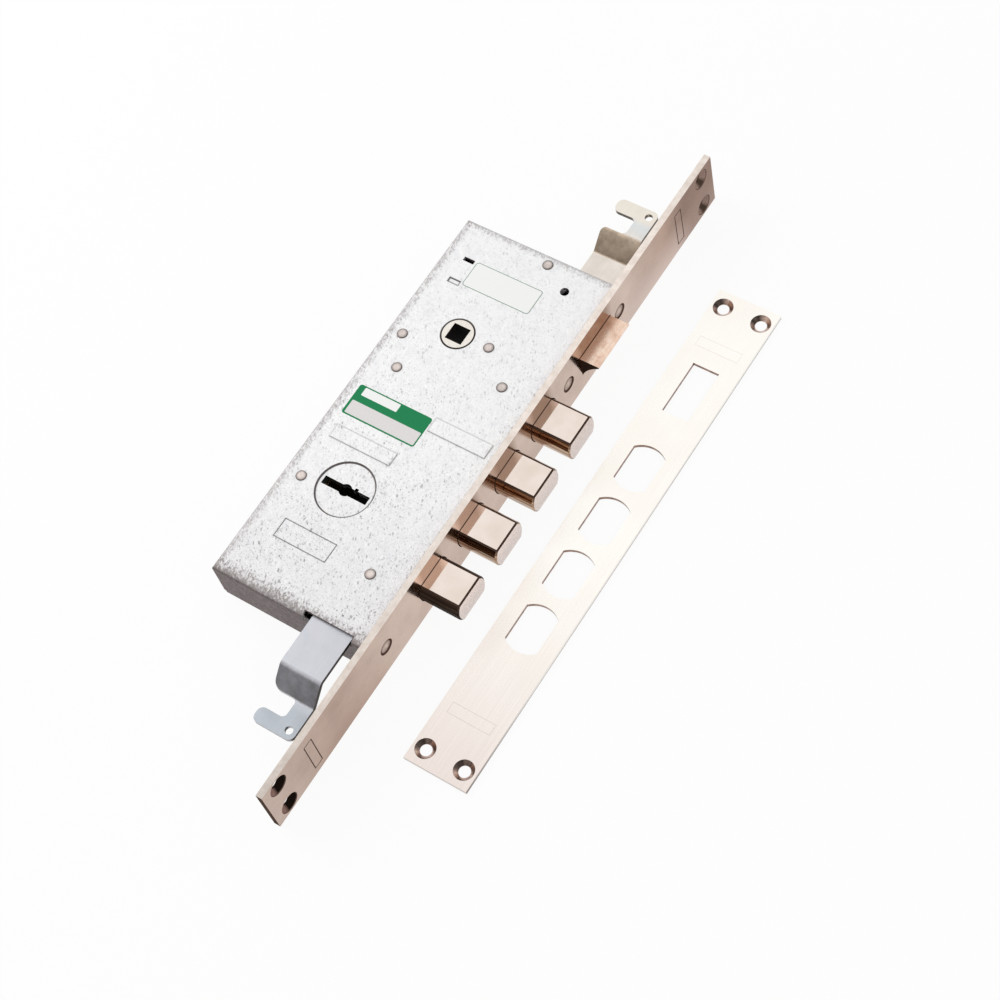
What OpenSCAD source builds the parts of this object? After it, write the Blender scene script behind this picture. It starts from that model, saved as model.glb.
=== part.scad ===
// Mortise lock for a steel door: four deadbolts, a latch, two rod hooks, a key-driven
// carriage behind a pack of levers, and the loose strike plate that lies beside it.
// Sizes are in millimetres. The lock lies on its back on a bench: +X is the way the bolts
// go out, +Y runs along the forend to the latch end, +Z comes up out of the keyhole face.
// X = 0 is the front of the forend, Y = 0 its middle, Z = 0 the middle of its width.
// The bolts, the latch and the hooks are drawn thrown, as in use.

/* [Forend] */
// Length of the forend along Y
forend_length = 338; // [300:1:420]
// Width of the forend along Z
forend_width = 30; // [26:0.5:40]
// Thickness of the forend
forend_thickness = 3; // [2:0.5:5]
// Distance from a forend end to its fixing holes
end_hole_inset = 8.8; // [7:0.1:20]
// Distance between the two fixing holes at one end
end_hole_span = 18.5; // [12:0.5:24]
// Fixing hole
fixing_hole_d = 5.2; // [4:0.1:7]
// Countersink of a fixing hole
fixing_sink_d = 9.8; // [7:0.1:13]
// Shank of the screws that hold the forend to the case
case_screw_d = 4; // [3:0.5:5]
// Head of those screws
case_screw_head_d = 7.1; // [6:0.1:10]

/* [Case] */
// Forend front to the spindle and key axes
backset = 50.5; // [48:0.5:70]
// Spindle and key axes to the back of the case
rear_room = 29; // [27:0.5:40]
// Length of the case along Y
case_height = 193; // [190:1:260]
// Middle of the case along Y
case_shift = -0.6; // [-5:0.1:5]
// Thickness of the case along Z
case_thickness = 23; // [22:0.5:30]
// Sheet of the case and its cover
sheet = 1.5; // [1:0.1:2]
// Outside radius of the bends round the face
bend_radius = 2; // [1.6:0.1:3]
// Rivet head on the face
rivet_head_d = 4.8; // [4:0.1:6]

/* [Deadbolts] */
// Diameter of a deadbolt
bolt_d = 19.5; // [14:0.1:24]
// Deadbolt across its two flats
bolt_flats = 12.5; // [8:0.1:14]
// Distance between neighbouring deadbolts
bolt_pitch = 28; // [23:0.1:34]
// Middle of the lowest deadbolt along Y
bolt_first = -53.8; // [-60:0.1:-50]
// Length of a deadbolt in front of the forend, thrown
bolt_out = 18.75; // [10:0.25:25]
// Travel of the deadbolts
bolt_throw = 18; // [8:0.5:18]
// Depth of the thrown deadbolts behind the forend front
bolt_tail = 17; // [15:0.5:20]
// Bevel along the edges of the flats
bolt_bevel = 0.5; // [0.2:0.1:1]

/* [Latch] */
// Height of the latch along Y
latch_height = 24.5; // [18:0.5:28]
// Thickness of the latch along Z
latch_thickness = 12; // [8:0.5:14]
// Length of the latch in front of the forend
latch_out = 9.4; // [8:0.1:12]
// Middle of the latch along Y
latch_y = 71.9; // [70:0.1:80]
// Radius of the hollow slope of the latch
latch_slope_r = 25; // [15:1:60]

/* [Follower and key] */
// Spindle axis along Y
follower_y = 43.8; // [40:0.1:50]
// Distance from the spindle axis to the key axis
centre_distance = 85; // [80:0.5:92]
// Square for the handle spindle
spindle_square = 8; // [7:0.5:10]
// Round end of the follower in the face
follower_d = 14.7; // [13:0.1:18]
// Key disc in the face
key_disc_d = 25.5; // [24:0.1:27]
// Length of the keyhole
key_slot_length = 22.6; // [16:0.1:23]
// Width of the keyhole
key_slot_width = 3.8; // [2:0.1:4]
// Round middle of the keyhole
key_core_d = 5.8; // [3:0.1:7]

/* [Levers] */
// Levers above the carriage, and again below it
levers_per_side = 3; // [1:1:3]
// Thickness of a lever
lever_thickness = 1.5; // [1:0.1:1.5]
// Way that a lever can move to either side
lever_lift = 2; // [1:0.1:2.5]

/* [Hooks] */
// Width of a hook strip along X
hook_width = 20; // [15:0.5:23]
// Thickness of a hook strip
hook_thickness = 2; // [1.5:0.1:2.5]
// Front edge of the hook strips behind the forend front
hook_front = 10; // [9.5:0.5:16]
// Lock middle to the tip of a hook
hook_reach = 141.2; // [130:0.1:160]
// Travel of a hook for the full bolt throw
hook_throw = 14; // [8:0.5:15]

/* [Strike plate] */
// Length of the strike plate
strike_length = 248; // [240:1:330]
// Width of the strike plate
strike_width = 30; // [26:0.5:40]
// Thickness of the strike plate
strike_thickness = 2; // [1.5:0.5:4]
// Middle of the strike plate along X, as it lies
strike_x = 42.3; // [38:0.1:80]
// Middle of the strike plate along Y, as it lies
strike_y = 3; // [-20:0.1:20]

/* [Hidden] */
$fn = 64;

// Clearances
run_fit = 0.08;       // radial, turning pieces in the case and the cover
guide_gap = 0.35;     // each side, sliding pieces in openings
seat_gap = 0.02;      // radial, riveted and pressed pieces
layer_gap = 0.4;      // between flat layers that slide on each other
wall_gap = 0.3;       // between a sliding strip and the sheet beside it
bevel = 0.4;          // at the rims of the hub and of its holes
disc_sink = 0.6;      // key disc below the face

// Case outline
case_x1 = -forend_thickness;
case_x0 = -backset - rear_room;
case_y0 = case_shift - case_height / 2;
case_y1 = case_shift + case_height / 2;
face_z = case_thickness / 2;
inner_z = face_z - sheet;
wall_x = case_x1 - sheet;
axis_x = -backset;
key_y = follower_y - centre_distance;
bench_z = -forend_width / 2;

// Places of the rivets that show on the face
pillar_places = [[axis_x + 15.7, case_y1 - 5], [axis_x - 21.4, follower_y - 10.9],
                 [axis_x - 14.1, follower_y - 26], [axis_x - 20.2, key_y - 3.4]];
pillar_d = 5;
rivet_shank_d = 3.6;
rivet_head_h = 0.4;
spring_stud = [axis_x + 15.7, follower_y + 0.2];
bolt_stud = [wall_x - 14.7, bolt_first + 3 * bolt_pitch];
hook_stud = [wall_x - 14.5, bolt_first - bolt_d / 2 - 4.75];
stud_d = 5;
guard_places = [for (x = [-10, 10], y = [-22.5, 22.5]) [axis_x + x, key_y + y]];

// Deadbolts and carriage
bolt_y = [for (i = [0:3]) bolt_first + i * bolt_pitch];
key_reach = 15;
throw = min(bolt_throw, backset - bolt_tail - key_reach - 0.5);
plate_t = 2.5;
plate_z = plate_t / 2;
bar_front = -6.5;
bolt_pin_d = 4;
bolt_pin_x = -bolt_tail + 5.5;
bolt_chamfer = 0.7;
top_bolt_edge = bolt_y[3] + bolt_d / 2;
low_bolt_edge = bolt_y[0] - bolt_d / 2;

// Hooks
strip_z1 = inner_z - wall_gap;
strip_z0 = strip_z1 - hook_thickness;
strip_mid = strip_z1 - hook_thickness / 2;
hook_x1 = -hook_front;
hook_x0 = hook_x1 - hook_width;
hook_neck_x = hook_x1 - 8.3;
hook_arm = 7;
hook_gap = 9;
// the bent part stays clear of the case ends when the hooks are drawn in
hook_tip = max(hook_reach, max(case_y1, -case_y0) + hook_throw + 30);
hook_bend = hook_tip - hook_arm - hook_gap - 8.6;
hook_bend_r = hook_thickness + 0.5;
hook_hole_d = 3.6;
hook_pin_d = 4.6;
hook_pin_x = hook_x0 - 4;
lower_pin_y = low_bolt_edge - 21.45;
upper_pin_y = max(top_bolt_edge + 26.05, follower_y + 22.2);
notch_x0 = hook_x0 - 3.5;
notch_x1 = hook_x1 + 1;
wing_d = 12;

// Levers
stump_d = 5;
stump_x = axis_x + 10.5;
stump_y = key_y + 21.2;
lever_x0 = axis_x - 24.5;
lever_x1 = axis_x + key_reach;
lever_y0 = key_y - 24.8;
lever_y1 = key_y + 28.2;
lever_post_d = 4;
lever_post_y = key_y - 18.8;
lever_step = lever_thickness + layer_gap;
lever_top = plate_z + levers_per_side * lever_step;

// Latch and follower
latch_y0 = latch_y - latch_height / 2;
latch_y1 = latch_y + latch_height / 2;
latch_back = wall_x - 0.5;
latch_travel = latch_out - 0.2;
tail_y0 = latch_y - 3.4;
tail_y1 = latch_y + 3.1;
tail_z0 = plate_z + 0.75;
tail_z1 = tail_z0 + 3;
cam_length = 19.2;
cam_width = 5;
cam_gap = 0.6;
spindle_hole = spindle_square + 0.2;
spring_y = latch_y + 7.7;
spring_d = 4.8;
anchor_x1 = latch_back - 25;

// Fixing places on the forend
end_hole_y = forend_length / 2 - end_hole_inset;
case_screw_y = [case_y0 + 8.7, (top_bolt_edge + latch_y0) / 2, latch_y1 + 6.6];

// Strike plate
strike_top = bench_z + strike_thickness;
strike_shift = 1.6;
strike_hole_d = bolt_d + 3.2;
strike_hole_w = bolt_flats + 2.9;
strike_sink_d = fixing_sink_d - 0.8;
strike_sink_depth = min((strike_sink_d - fixing_hole_d) / 2, strike_thickness - 0.3);

// Tools
module block(x0, x1, y0, y1, z0, z1) {
  translate([x0, y0, z0])
    cube([x1 - x0, y1 - y0, z1 - z0]);
}

module post(place, z0, z1, d) {
  translate([place[0], place[1], z0])
    cylinder(d = d, h = z1 - z0);
}

module bar_x(y, z, x0, x1, d) {
  translate([x0, y, z])
    rotate([0, 90, 0])
      cylinder(d = d, h = x1 - x0);
}

module bar_y(x, z, y0, y1, d) {
  translate([x, y0, z])
    rotate([-90, 0, 0])
      cylinder(d = d, h = y1 - y0);
}

// Round bar along X with a flat above and below
module flat_bar_x(y, x0, x1, d, flats) {
  intersection() {
    bar_x(y, 0, x0, x1, d);
    block(x0 - 1, x1 + 1, y - d, y + d, -flats / 2, flats / 2);
  }
}

// Screw hole along X, countersunk at the forend front
module sunk_hole_x(y, z, d, head_d, depth) {
  bar_x(y, z, -depth - 1, 1, d);
  translate([-(head_d - d) / 2, y, z])
    rotate([0, 90, 0])
      cylinder(d1 = d, d2 = head_d, h = (head_d - d) / 2);
  bar_x(y, z, 0, 1, head_d);
}

// Flat outline with rounded corners
module round_plan(x0, x1, y0, y1, r) {
  translate([x0 + r, y0])
    square([x1 - x0 - 2 * r, y1 - y0]);
  translate([x0, y0 + r])
    square([x1 - x0, y1 - y0 - 2 * r]);
  for (x = [x0 + r, x1 - r], y = [y0 + r, y1 - r])
    translate([x, y])
      circle(r = r);
}

// One side of a bent strip, at a distance from its middle line
function unit(v) = v / norm(v);
function strip_side(path, off) =
  [for (i = [0:len(path) - 1])
     let (a = unit(path[max(i, 1)] - path[max(i, 1) - 1]),
          b = unit(path[min(i + 1, len(path) - 1)] - path[min(i, len(path) - 2)]))
       path[i] + off * [-a[1] - b[1], a[0] + b[0]] / (1 + a * b)];

// Straight slot or bar with round ends
module long_plan(p, q, d) {
  translate(p)
    circle(d = d);
  translate(q)
    circle(d = d);
  translate(p)
    rotate(atan2(q[1] - p[1], q[0] - p[0]))
      translate([0, -d / 2])
        square([norm(q - p), d]);
}

// Side view of a folded tray: bends of radius r at its upper corners
module bend_plan(a0, a1, z0, z1, r) {
  translate([a0, z0])
    square([a1 - a0, z1 - r - z0]);
  translate([a0 + r, z0])
    square([a1 - a0 - 2 * r, z1 - z0]);
  for (a = [a0 + r, a1 - r])
    translate([a, z1 - r])
      circle(r = r);
}

// Folded tray: bends all round its top, sharp upright corners
module bent_box(x0, x1, y0, y1, z0, z1, r) {
  intersection() {
    translate([x0, 0, 0])
      rotate([90, 0, 90])
        linear_extrude(x1 - x0)
          bend_plan(y0, y1, z0, z1, r);
    translate([0, y1, 0])
      rotate([90, 0, 0])
        linear_extrude(y1 - y0)
          bend_plan(x0, x1, z0, z1, r);
  }
}

// Round hole in the face with a small bevel, for a piece that turns in it
module bearing_hole(y, d) {
  post([axis_x, y], inner_z - 1, face_z + 1, d);
  translate([axis_x, y, face_z - bevel])
    cylinder(d1 = d, d2 = d + 2 * bevel, h = bevel);
  post([axis_x, y], face_z, face_z + 1, d + 2 * bevel);
}

// Thin engraved frame on the keyhole face
module face_frame(x0, x1, y0, y1, line, depth) {
  difference() {
    block(x0, x1, y0, y1, face_z - depth, face_z + 1);
    block(x0 + line, x1 - line, y0 + line, y1 - line, face_z - 2 * depth, face_z + 2);
  }
}

// Thin engraved frame on the forend front
module forend_frame(y0, y1, z0, z1, line, depth) {
  difference() {
    block(-depth, 1, y0, y1, z0, z1);
    block(-2 * depth, 2, y0 + line, y1 - line, z0 + line, z1 - line);
  }
}

// Fixed pieces
module case_shell() {
  press = 0.3;
  color([0.86, 0.87, 0.88])
  difference() {
    union() {
      bent_box(case_x0, case_x1, case_y0, case_y1, -inner_z, face_z, bend_radius);
      // bars pressed out of the face
      block(axis_x - 20.6, axis_x + 10, key_y + 17.8, key_y + 24.2, inner_z, face_z + press);
      block(axis_x + 15, case_x1 - 4.2, key_y + 39.3, key_y + 46.3, inner_z, face_z + press);
    }
    bent_box(case_x0 + sheet, wall_x, case_y0 + sheet, case_y1 - sheet,
             -inner_z - 10, inner_z, bend_radius - sheet);
    bearing_hole(follower_y, follower_d + 2 * run_fit);
    bearing_hole(key_y, key_disc_d + 2 * run_fit);
    for (p = concat(pillar_places, [spring_stud, bolt_stud, hook_stud]))
      post(p, inner_z - 1, face_z + 1, rivet_shank_d + 2 * seat_gap);
    // openings in the front wall
    for (y = bolt_y)
      flat_bar_x(y, wall_x - 0.9, case_x1 + 1, bolt_d + 2 * guide_gap, bolt_flats + 2 * guide_gap);
    block(wall_x - 0.9, case_x1 + 1, latch_y0 - guide_gap, latch_y1 + guide_gap,
          -latch_thickness / 2 - guide_gap, latch_thickness / 2 + guide_gap);
    for (y = case_screw_y)
      bar_x(y, 0, wall_x - 1, case_x1 + 1, case_screw_d + 2 * guide_gap);
    // notches for the hooks: the lower one opens the bend, the upper one is at the cover
    block(notch_x0, notch_x1, case_y0 - 1, case_y0 + 3, strip_z0 - 0.6, face_z + 1);
    block(notch_x0, notch_x1, case_y1 - sheet - 0.9, case_y1 + 1, -inner_z - 1, -strip_z0 + 0.6);
    // small hole, slot and shallow slot near the latch
    post([wall_x - 16.6, latch_y + 10.7], inner_z - 1, face_z + 1, 4);
    block(axis_x - 19, axis_x - 13.6, latch_y + 4.5, latch_y + 6.5, inner_z - 1, face_z + 1);
    block(axis_x - 19, axis_x - 13.6, latch_y - 7.5, latch_y - 5.4, face_z - 0.4, face_z + 1);
    // empty engraved frame
    face_frame(axis_x - 14.5, axis_x + 12, key_y - 32, key_y - 22.6, 0.5, 0.2);
  }
}

module back_cover() {
  color([0.78, 0.79, 0.80])
  difference() {
    translate([0, 0, -face_z])
      linear_extrude(sheet)
        round_plan(case_x0, case_x1, case_y0, case_y1, 1);
    post([axis_x, follower_y], -face_z - 1, -inner_z + 1, follower_d + 2 * run_fit);
    post([axis_x, key_y], -face_z - 1, -inner_z + 1, key_disc_d + 2 * run_fit);
    for (p = concat(pillar_places, guard_places))
      post(p, -face_z - 1, -inner_z + 1, rivet_shank_d + 2 * seat_gap);
    post([axis_x - 20.2, lever_post_y], -face_z - 1, -inner_z + 1, 3 + 2 * seat_gap);
    block(notch_x0, notch_x1, case_y1 - 0.8, case_y1 + 1, -face_z - 1, -inner_z + 1);
  }
}

// Peened rivet head on the keyhole face, with a sloped rim
module rivet_head(place) {
  post(place, face_z, face_z + rivet_head_h / 2, rivet_head_d);
  translate([place[0], place[1], face_z + rivet_head_h / 2])
    cylinder(d1 = rivet_head_d, d2 = rivet_head_d - 1.5 * rivet_head_h, h = rivet_head_h / 2);
}

module case_pillars() {
  color([0.80, 0.76, 0.74])
  for (p = pillar_places) {
    post(p, -inner_z, inner_z, pillar_d);
    post(p, -face_z, face_z, rivet_shank_d);
    rivet_head(p);
    post(p, -face_z - rivet_head_h, -face_z, rivet_head_d);
  }
}

module face_studs() {
  color([0.80, 0.76, 0.74])
  for (s = [[spring_stud, plate_z + 0.65], [bolt_stud, bolt_flats / 2 + guide_gap],
            [hook_stud, plate_z + 0.65]]) {
    post(s[0], s[1], inner_z, stud_d);
    post(s[0], inner_z, face_z, rivet_shank_d);
    rivet_head(s[0]);
  }
}

module forend_plate() {
  color([0.78, 0.68, 0.62])
  difference() {
    block(-forend_thickness, 0, -forend_length / 2, forend_length / 2, bench_z, -bench_z);
    for (y = bolt_y)
      flat_bar_x(y, -forend_thickness - 1, 1, bolt_d + 2 * guide_gap, bolt_flats + 2 * guide_gap);
    block(-forend_thickness - 1, 1, latch_y0 - guide_gap, latch_y1 + guide_gap,
          -latch_thickness / 2 - guide_gap, latch_thickness / 2 + guide_gap);
    for (y = case_screw_y)
      sunk_hole_x(y, 0, case_screw_d + 0.2, case_screw_head_d + 0.2, forend_thickness);
    for (y = [-end_hole_y, end_hole_y], z = [-end_hole_span / 2, end_hole_span / 2])
      sunk_hole_x(y, z, fixing_hole_d, fixing_sink_d, forend_thickness);
    for (s = [-1, 1])
      forend_frame(s * (end_hole_y - 19.8) - 2.6, s * (end_hole_y - 19.8) + 2.6, -11, 9.6, 0.5, 0.2);
  }
}

module forend_screws() {
  color([0.74, 0.66, 0.61])
  for (y = case_screw_y) {
    bar_x(y, 0, wall_x - 4.5, -1, case_screw_d);
    translate([-(case_screw_head_d - case_screw_d) / 2 - 0.1, y, 0])
      rotate([0, 90, 0])
        cylinder(d1 = case_screw_d, d2 = case_screw_head_d - 0.6, h = (case_screw_head_d - case_screw_d) / 2 - 0.3);
  }
}

module forend_nuts() {
  color([0.62, 0.63, 0.65])
  for (y = case_screw_y)
    difference() {
      bar_x(y, 0, wall_x - 4.8, wall_x, 1.7 * case_screw_d);
      bar_x(y, 0, wall_x - 6, wall_x + 1, case_screw_d + 2 * seat_gap);
    }
}

module drill_guard() {
  color([0.55, 0.56, 0.58])
  difference() {
    translate([0, 0, bench_z])
      linear_extrude(-face_z - bench_z)
        round_plan(axis_x - 23, axis_x + 23, key_y - 26, key_y + 26, 4);
    post([axis_x, key_y], bench_z - 1, -face_z + 1, key_slot_length + 1.6);
    for (p = guard_places)
      post(p, bench_z - 1, -face_z + 1, rivet_shank_d + 2 * seat_gap);
    post([pillar_places[3][0], pillar_places[3][1]], bench_z - 1, -face_z + 1, rivet_head_d + 0.6);
    post([axis_x - 20.2, lever_post_y], bench_z - 1, -face_z + 1, 5.4);
  }
}

// They stop short of the bench and are peened flush inside the cover
module guard_rivets() {
  color([0.66, 0.66, 0.68])
  for (p = guard_places)
    post(p, bench_z + 0.4, -inner_z, rivet_shank_d);
}

module lever_post() {
  place = [axis_x - 20.2, lever_post_y];
  color([0.66, 0.66, 0.68])
  union() {
    post(place, -inner_z, lever_top + layer_gap, lever_post_d);
    post(place, -face_z, -inner_z, 3);
    post(place, -face_z - rivet_head_h, -face_z, rivet_head_d);
  }
}

// One comb of leaf springs, drawn pressed flat
module lever_springs() {
  blade_y = lever_y1 + lever_lift + 0.5;
  base_x = axis_x - 11.5;
  color([0.50, 0.52, 0.55])
  union() {
    block(base_x, base_x + 2, blade_y + 4, blade_y + 5.5, -inner_z, lever_top);
    for (s = [-1, 1], k = [0:levers_per_side - 1]) {
      z = s > 0 ? lever_z(k) : -lever_z(k) - lever_thickness;
      block(base_x, base_x + 16, blade_y, blade_y + 0.5, z, z + lever_thickness);
      block(base_x, base_x + 0.5, blade_y, blade_y + 4.5, z, z + lever_thickness);
    }
  }
}

module spring_anchor() {
  color([0.62, 0.63, 0.65])
  difference() {
    union() {
      block(pillar_places[0][0] - 4, anchor_x1 + 2, spring_y - 3, pillar_places[0][1] + 1.5,
            inner_z - 1.6, inner_z);
      block(anchor_x1 - 3, anchor_x1, spring_y - 3, spring_y + 3, -4, inner_z - 1);
    }
    post(pillar_places[0], inner_z - 3, inner_z + 1, pillar_d + 2 * seat_gap);
  }
}

// Pressed together, as it is when the latch is in
module latch_spring() {
  color([0.50, 0.52, 0.55])
  difference() {
    bar_x(spring_y, 0, anchor_x1, latch_back - latch_travel - 0.4, spring_d);
    bar_x(spring_y, 0, anchor_x1 - 1, latch_back, spring_d - 1.6);
  }
}

module follower_spring() {
  ring_z = tail_z1 + 2.2;
  color([0.50, 0.52, 0.55])
  difference() {
    union() {
      post([axis_x, follower_y], ring_z, ring_z + 1.3, follower_d + 3.6);
      block(axis_x, spring_stud[0] - stud_d / 2 - 0.2, follower_y + 7, follower_y + 8.3,
            ring_z, ring_z + 1.3);
      block(spring_stud[0] - stud_d / 2 - 1.5, spring_stud[0] - stud_d / 2 - 0.2, follower_y - 3,
            follower_y + 8.3, ring_z, ring_z + 1.3);
    }
    post([axis_x, follower_y], ring_z - 1, ring_z + 3, follower_d + 0.8);
  }
}

// Bolt work
hook_slot_low = [[hook_pin_x, lower_pin_y], [hook_pin_x + throw, lower_pin_y + hook_throw]];
hook_slot_up = [[hook_pin_x, upper_pin_y], [hook_pin_x + throw, upper_pin_y - hook_throw]];
tongue_x0 = max(axis_x - 8, case_x0 + sheet + throw + 1.5);

module bolt_carriage() {
  color([0.60, 0.61, 0.63])
  translate([0, 0, -plate_z])
    linear_extrude(plate_t)
      difference() {
        union() {
          translate([-bolt_tail, hook_slot_low[1][1]])
            square([bolt_tail + bar_front - 4.5, top_bolt_edge + 2 - hook_slot_low[1][1]]);
          translate([-bolt_tail, low_bolt_edge - 2])
            square([bolt_tail + bar_front, top_bolt_edge - low_bolt_edge + 4]);
          translate([-bolt_tail, top_bolt_edge])
            square([bolt_tail + bar_front - 4.5, hook_slot_up[1][1] - top_bolt_edge]);
          long_plan(hook_slot_low[0], hook_slot_low[1], wing_d);
          long_plan(hook_slot_up[0], hook_slot_up[1], wing_d);
          translate([tongue_x0, key_y + 8.2])
            square([-bolt_tail + 1 - tongue_x0, 19]);
        }
        long_plan(hook_slot_low[0], hook_slot_low[1], hook_pin_d + 0.6);
        long_plan(hook_slot_up[0], hook_slot_up[1], hook_pin_d + 0.6);
        translate([axis_x + 3, key_y + 7])
          square([6, 6.8]);
        translate([stump_x, stump_y])
          circle(d = stump_d + 2 * seat_gap);
        for (y = bolt_y)
          translate([bolt_pin_x, y])
            circle(d = bolt_pin_d + 2 * seat_gap);
      }
}

module bolt_pins() {
  color([0.70, 0.71, 0.73])
  for (y = bolt_y)
    post([bolt_pin_x, y], -bolt_flats / 2 + 0.4, bolt_flats / 2 - 0.4, bolt_pin_d);
}

module lever_stump() {
  color([0.70, 0.71, 0.73])
  post([stump_x, stump_y], -lever_top - 0.2, lever_top + 0.2, stump_d);
}

// Bar between its two flats, seen along X, with a bevel halfway between flat and round
module bevelled_plan() {
  half_flat = sqrt(bolt_d * bolt_d - bolt_flats * bolt_flats) / 2 - bolt_bevel;
  out = bolt_d / 4;
  drop = out * tan((90 - asin(bolt_flats / bolt_d)) / 2);
  polygon([[half_flat, bolt_flats / 2], [half_flat + out, bolt_flats / 2 - drop],
           [half_flat + out, drop - bolt_flats / 2], [half_flat, -bolt_flats / 2],
           [-half_flat, -bolt_flats / 2], [-half_flat - out, drop - bolt_flats / 2],
           [-half_flat - out, bolt_flats / 2 - drop], [-half_flat, bolt_flats / 2]]);
}

module deadbolt(y) {
  color([0.86, 0.79, 0.73])
  difference() {
    intersection() {
      union() {
        bar_x(y, 0, -bolt_tail, bolt_out - bolt_chamfer, bolt_d);
        translate([bolt_out - bolt_chamfer, y, 0])
          rotate([0, 90, 0])
            cylinder(d1 = bolt_d, d2 = bolt_d - 2 * bolt_chamfer, h = bolt_chamfer);
      }
      translate([0, y + bolt_d, 0])
        rotate([90, 0, 0])
          linear_extrude(2 * bolt_d)
            polygon([[-bolt_tail - 1, -bolt_flats / 2], [bolt_out - bolt_chamfer, -bolt_flats / 2],
                     [bolt_out, bolt_chamfer - bolt_flats / 2], [bolt_out, bolt_flats / 2 - bolt_chamfer],
                     [bolt_out - bolt_chamfer, bolt_flats / 2], [-bolt_tail - 1, bolt_flats / 2]]);
      translate([-bolt_tail - 2, y, 0])
        rotate([90, 0, 90])
          linear_extrude(bolt_tail + bolt_out + 4)
            bevelled_plan();
    }
    block(-bolt_tail - 1, bar_front + 0.2, y - bolt_d, y + bolt_d, -plate_z - 0.05, plate_z + 0.05);
    post([bolt_pin_x, y], -bolt_flats, bolt_flats, bolt_pin_d + 2 * seat_gap);
  }
}

module deadbolt_1() {
  deadbolt(bolt_y[0]);
}

module deadbolt_2() {
  deadbolt(bolt_y[1]);
}

module deadbolt_3() {
  deadbolt(bolt_y[2]);
}

module deadbolt_4() {
  deadbolt(bolt_y[3]);
}

// The hollow slope is cut by a cylinder through the forend line and the tip
module latch_bolt() {
  low = [0.2, -latch_thickness / 2 + 0.2];
  tip = [latch_out, latch_thickness / 2 - 1];
  half = norm(tip - low) / 2;
  way = (tip - low) / (2 * half);
  mid = (tip + low) / 2;
  off = sqrt(latch_slope_r * latch_slope_r - half * half);
  color([0.80, 0.62, 0.50])
  difference() {
    block(latch_back, latch_out, latch_y0, latch_y1, -latch_thickness / 2, latch_thickness / 2);
    bar_y(mid[0] + off * way[1], mid[1] - off * way[0], latch_y0 - 1, latch_y1 + 1, 2 * latch_slope_r);
    block(latch_back - 1, latch_back + 4, tail_y0, tail_y1, tail_z0, tail_z1);
  }
}

module latch_tail() {
  lug_x1 = axis_x - cam_width / 2 - cam_gap;
  color([0.62, 0.63, 0.65])
  union() {
    block(lug_x1 - 4.4, latch_back + 4, tail_y0, tail_y1, tail_z0, tail_z1);
    block(lug_x1 - 4.4, lug_x1, follower_y + cam_length - 6, tail_y0 + 1, tail_z0, tail_z1);
  }
}

module follower_hub() {
  color([0.75, 0.75, 0.76])
  difference() {
    union() {
      post([axis_x, follower_y], -face_z + bevel, face_z - bevel, follower_d);
      for (s = [-1, 1])
        translate([axis_x, follower_y, s * (face_z - bevel)])
          rotate([90 - 90 * s, 0, 0])
            cylinder(d1 = follower_d, d2 = follower_d - 2 * bevel, h = bevel);
      post([axis_x, follower_y], -inner_z + layer_gap, tail_z1 + 1.6, follower_d + 4.5);
      block(axis_x - cam_width / 2, axis_x + cam_width / 2, follower_y, follower_y + cam_length,
            tail_z0, tail_z1 + 1);
    }
    block(axis_x - spindle_hole / 2, axis_x + spindle_hole / 2, follower_y - spindle_hole / 2,
          follower_y + spindle_hole / 2, -face_z - 1, face_z + 1);
  }
}

module key_disc() {
  difference() {
    union() {
      post([axis_x, key_y], inner_z - layer_gap, face_z - disc_sink, key_disc_d);
      post([axis_x, key_y], lever_top + layer_gap, inner_z - layer_gap, key_disc_d + 2.5);
    }
    post([axis_x, key_y], 0, face_z + 1, key_core_d);
    block(axis_x - key_slot_length / 2, axis_x + key_slot_length / 2, key_y - key_slot_width / 2,
          key_y + key_slot_width / 2, 0, face_z + 1);
    block(axis_x + key_core_d / 2 + 0.6, axis_x + key_core_d / 2 + 2.2, key_y, key_y + key_slot_width / 2 + 1,
          0, face_z + 1);
  }
}

module front_key_disc() {
  color([0.84, 0.85, 0.86])
    key_disc();
}

module rear_key_disc() {
  color([0.84, 0.85, 0.86])
    mirror([0, 0, 1])
      key_disc();
}

// A lever has a window for the key, a slot for its two posts and a gate for the stump
module lever(z) {
  gate = stump_d + 2 * guide_gap;
  pocket = gate + 2 * lever_lift;
  guide_x = axis_x - 20.2;
  color([0.76, 0.66, 0.40])
  translate([0, 0, z])
    linear_extrude(lever_thickness)
      difference() {
        round_plan(lever_x0, lever_x1, lever_y0, lever_y1, 2);
        round_plan(axis_x - 12.3, axis_x + 12.3, key_y - 9.5, key_y + 9.5, 2);
        translate([stump_x - throw - gate / 2, stump_y - gate / 2])
          square([throw + gate, gate]);
        for (x = [stump_x - throw, stump_x])
          translate([x - gate / 2, stump_y - pocket / 2])
            square([gate, pocket]);
        long_plan([guide_x, pillar_places[3][1] - lever_lift], [guide_x, pillar_places[3][1] + lever_lift],
                  pillar_d + 2 * guide_gap);
        long_plan([guide_x, lever_post_y - lever_lift], [guide_x, lever_post_y + lever_lift],
                  lever_post_d + 2 * guide_gap);
      }
}

function lever_z(k) = plate_z + layer_gap + k * lever_step;

module lever_1() {
  lever(-lever_z(2) - lever_thickness);
}

module lever_2() {
  lever(-lever_z(1) - lever_thickness);
}

module lever_3() {
  lever(-lever_z(0) - lever_thickness);
}

module lever_4() {
  lever(lever_z(0));
}

module lever_5() {
  lever(lever_z(1));
}

module lever_6() {
  lever(lever_z(2));
}

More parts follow.
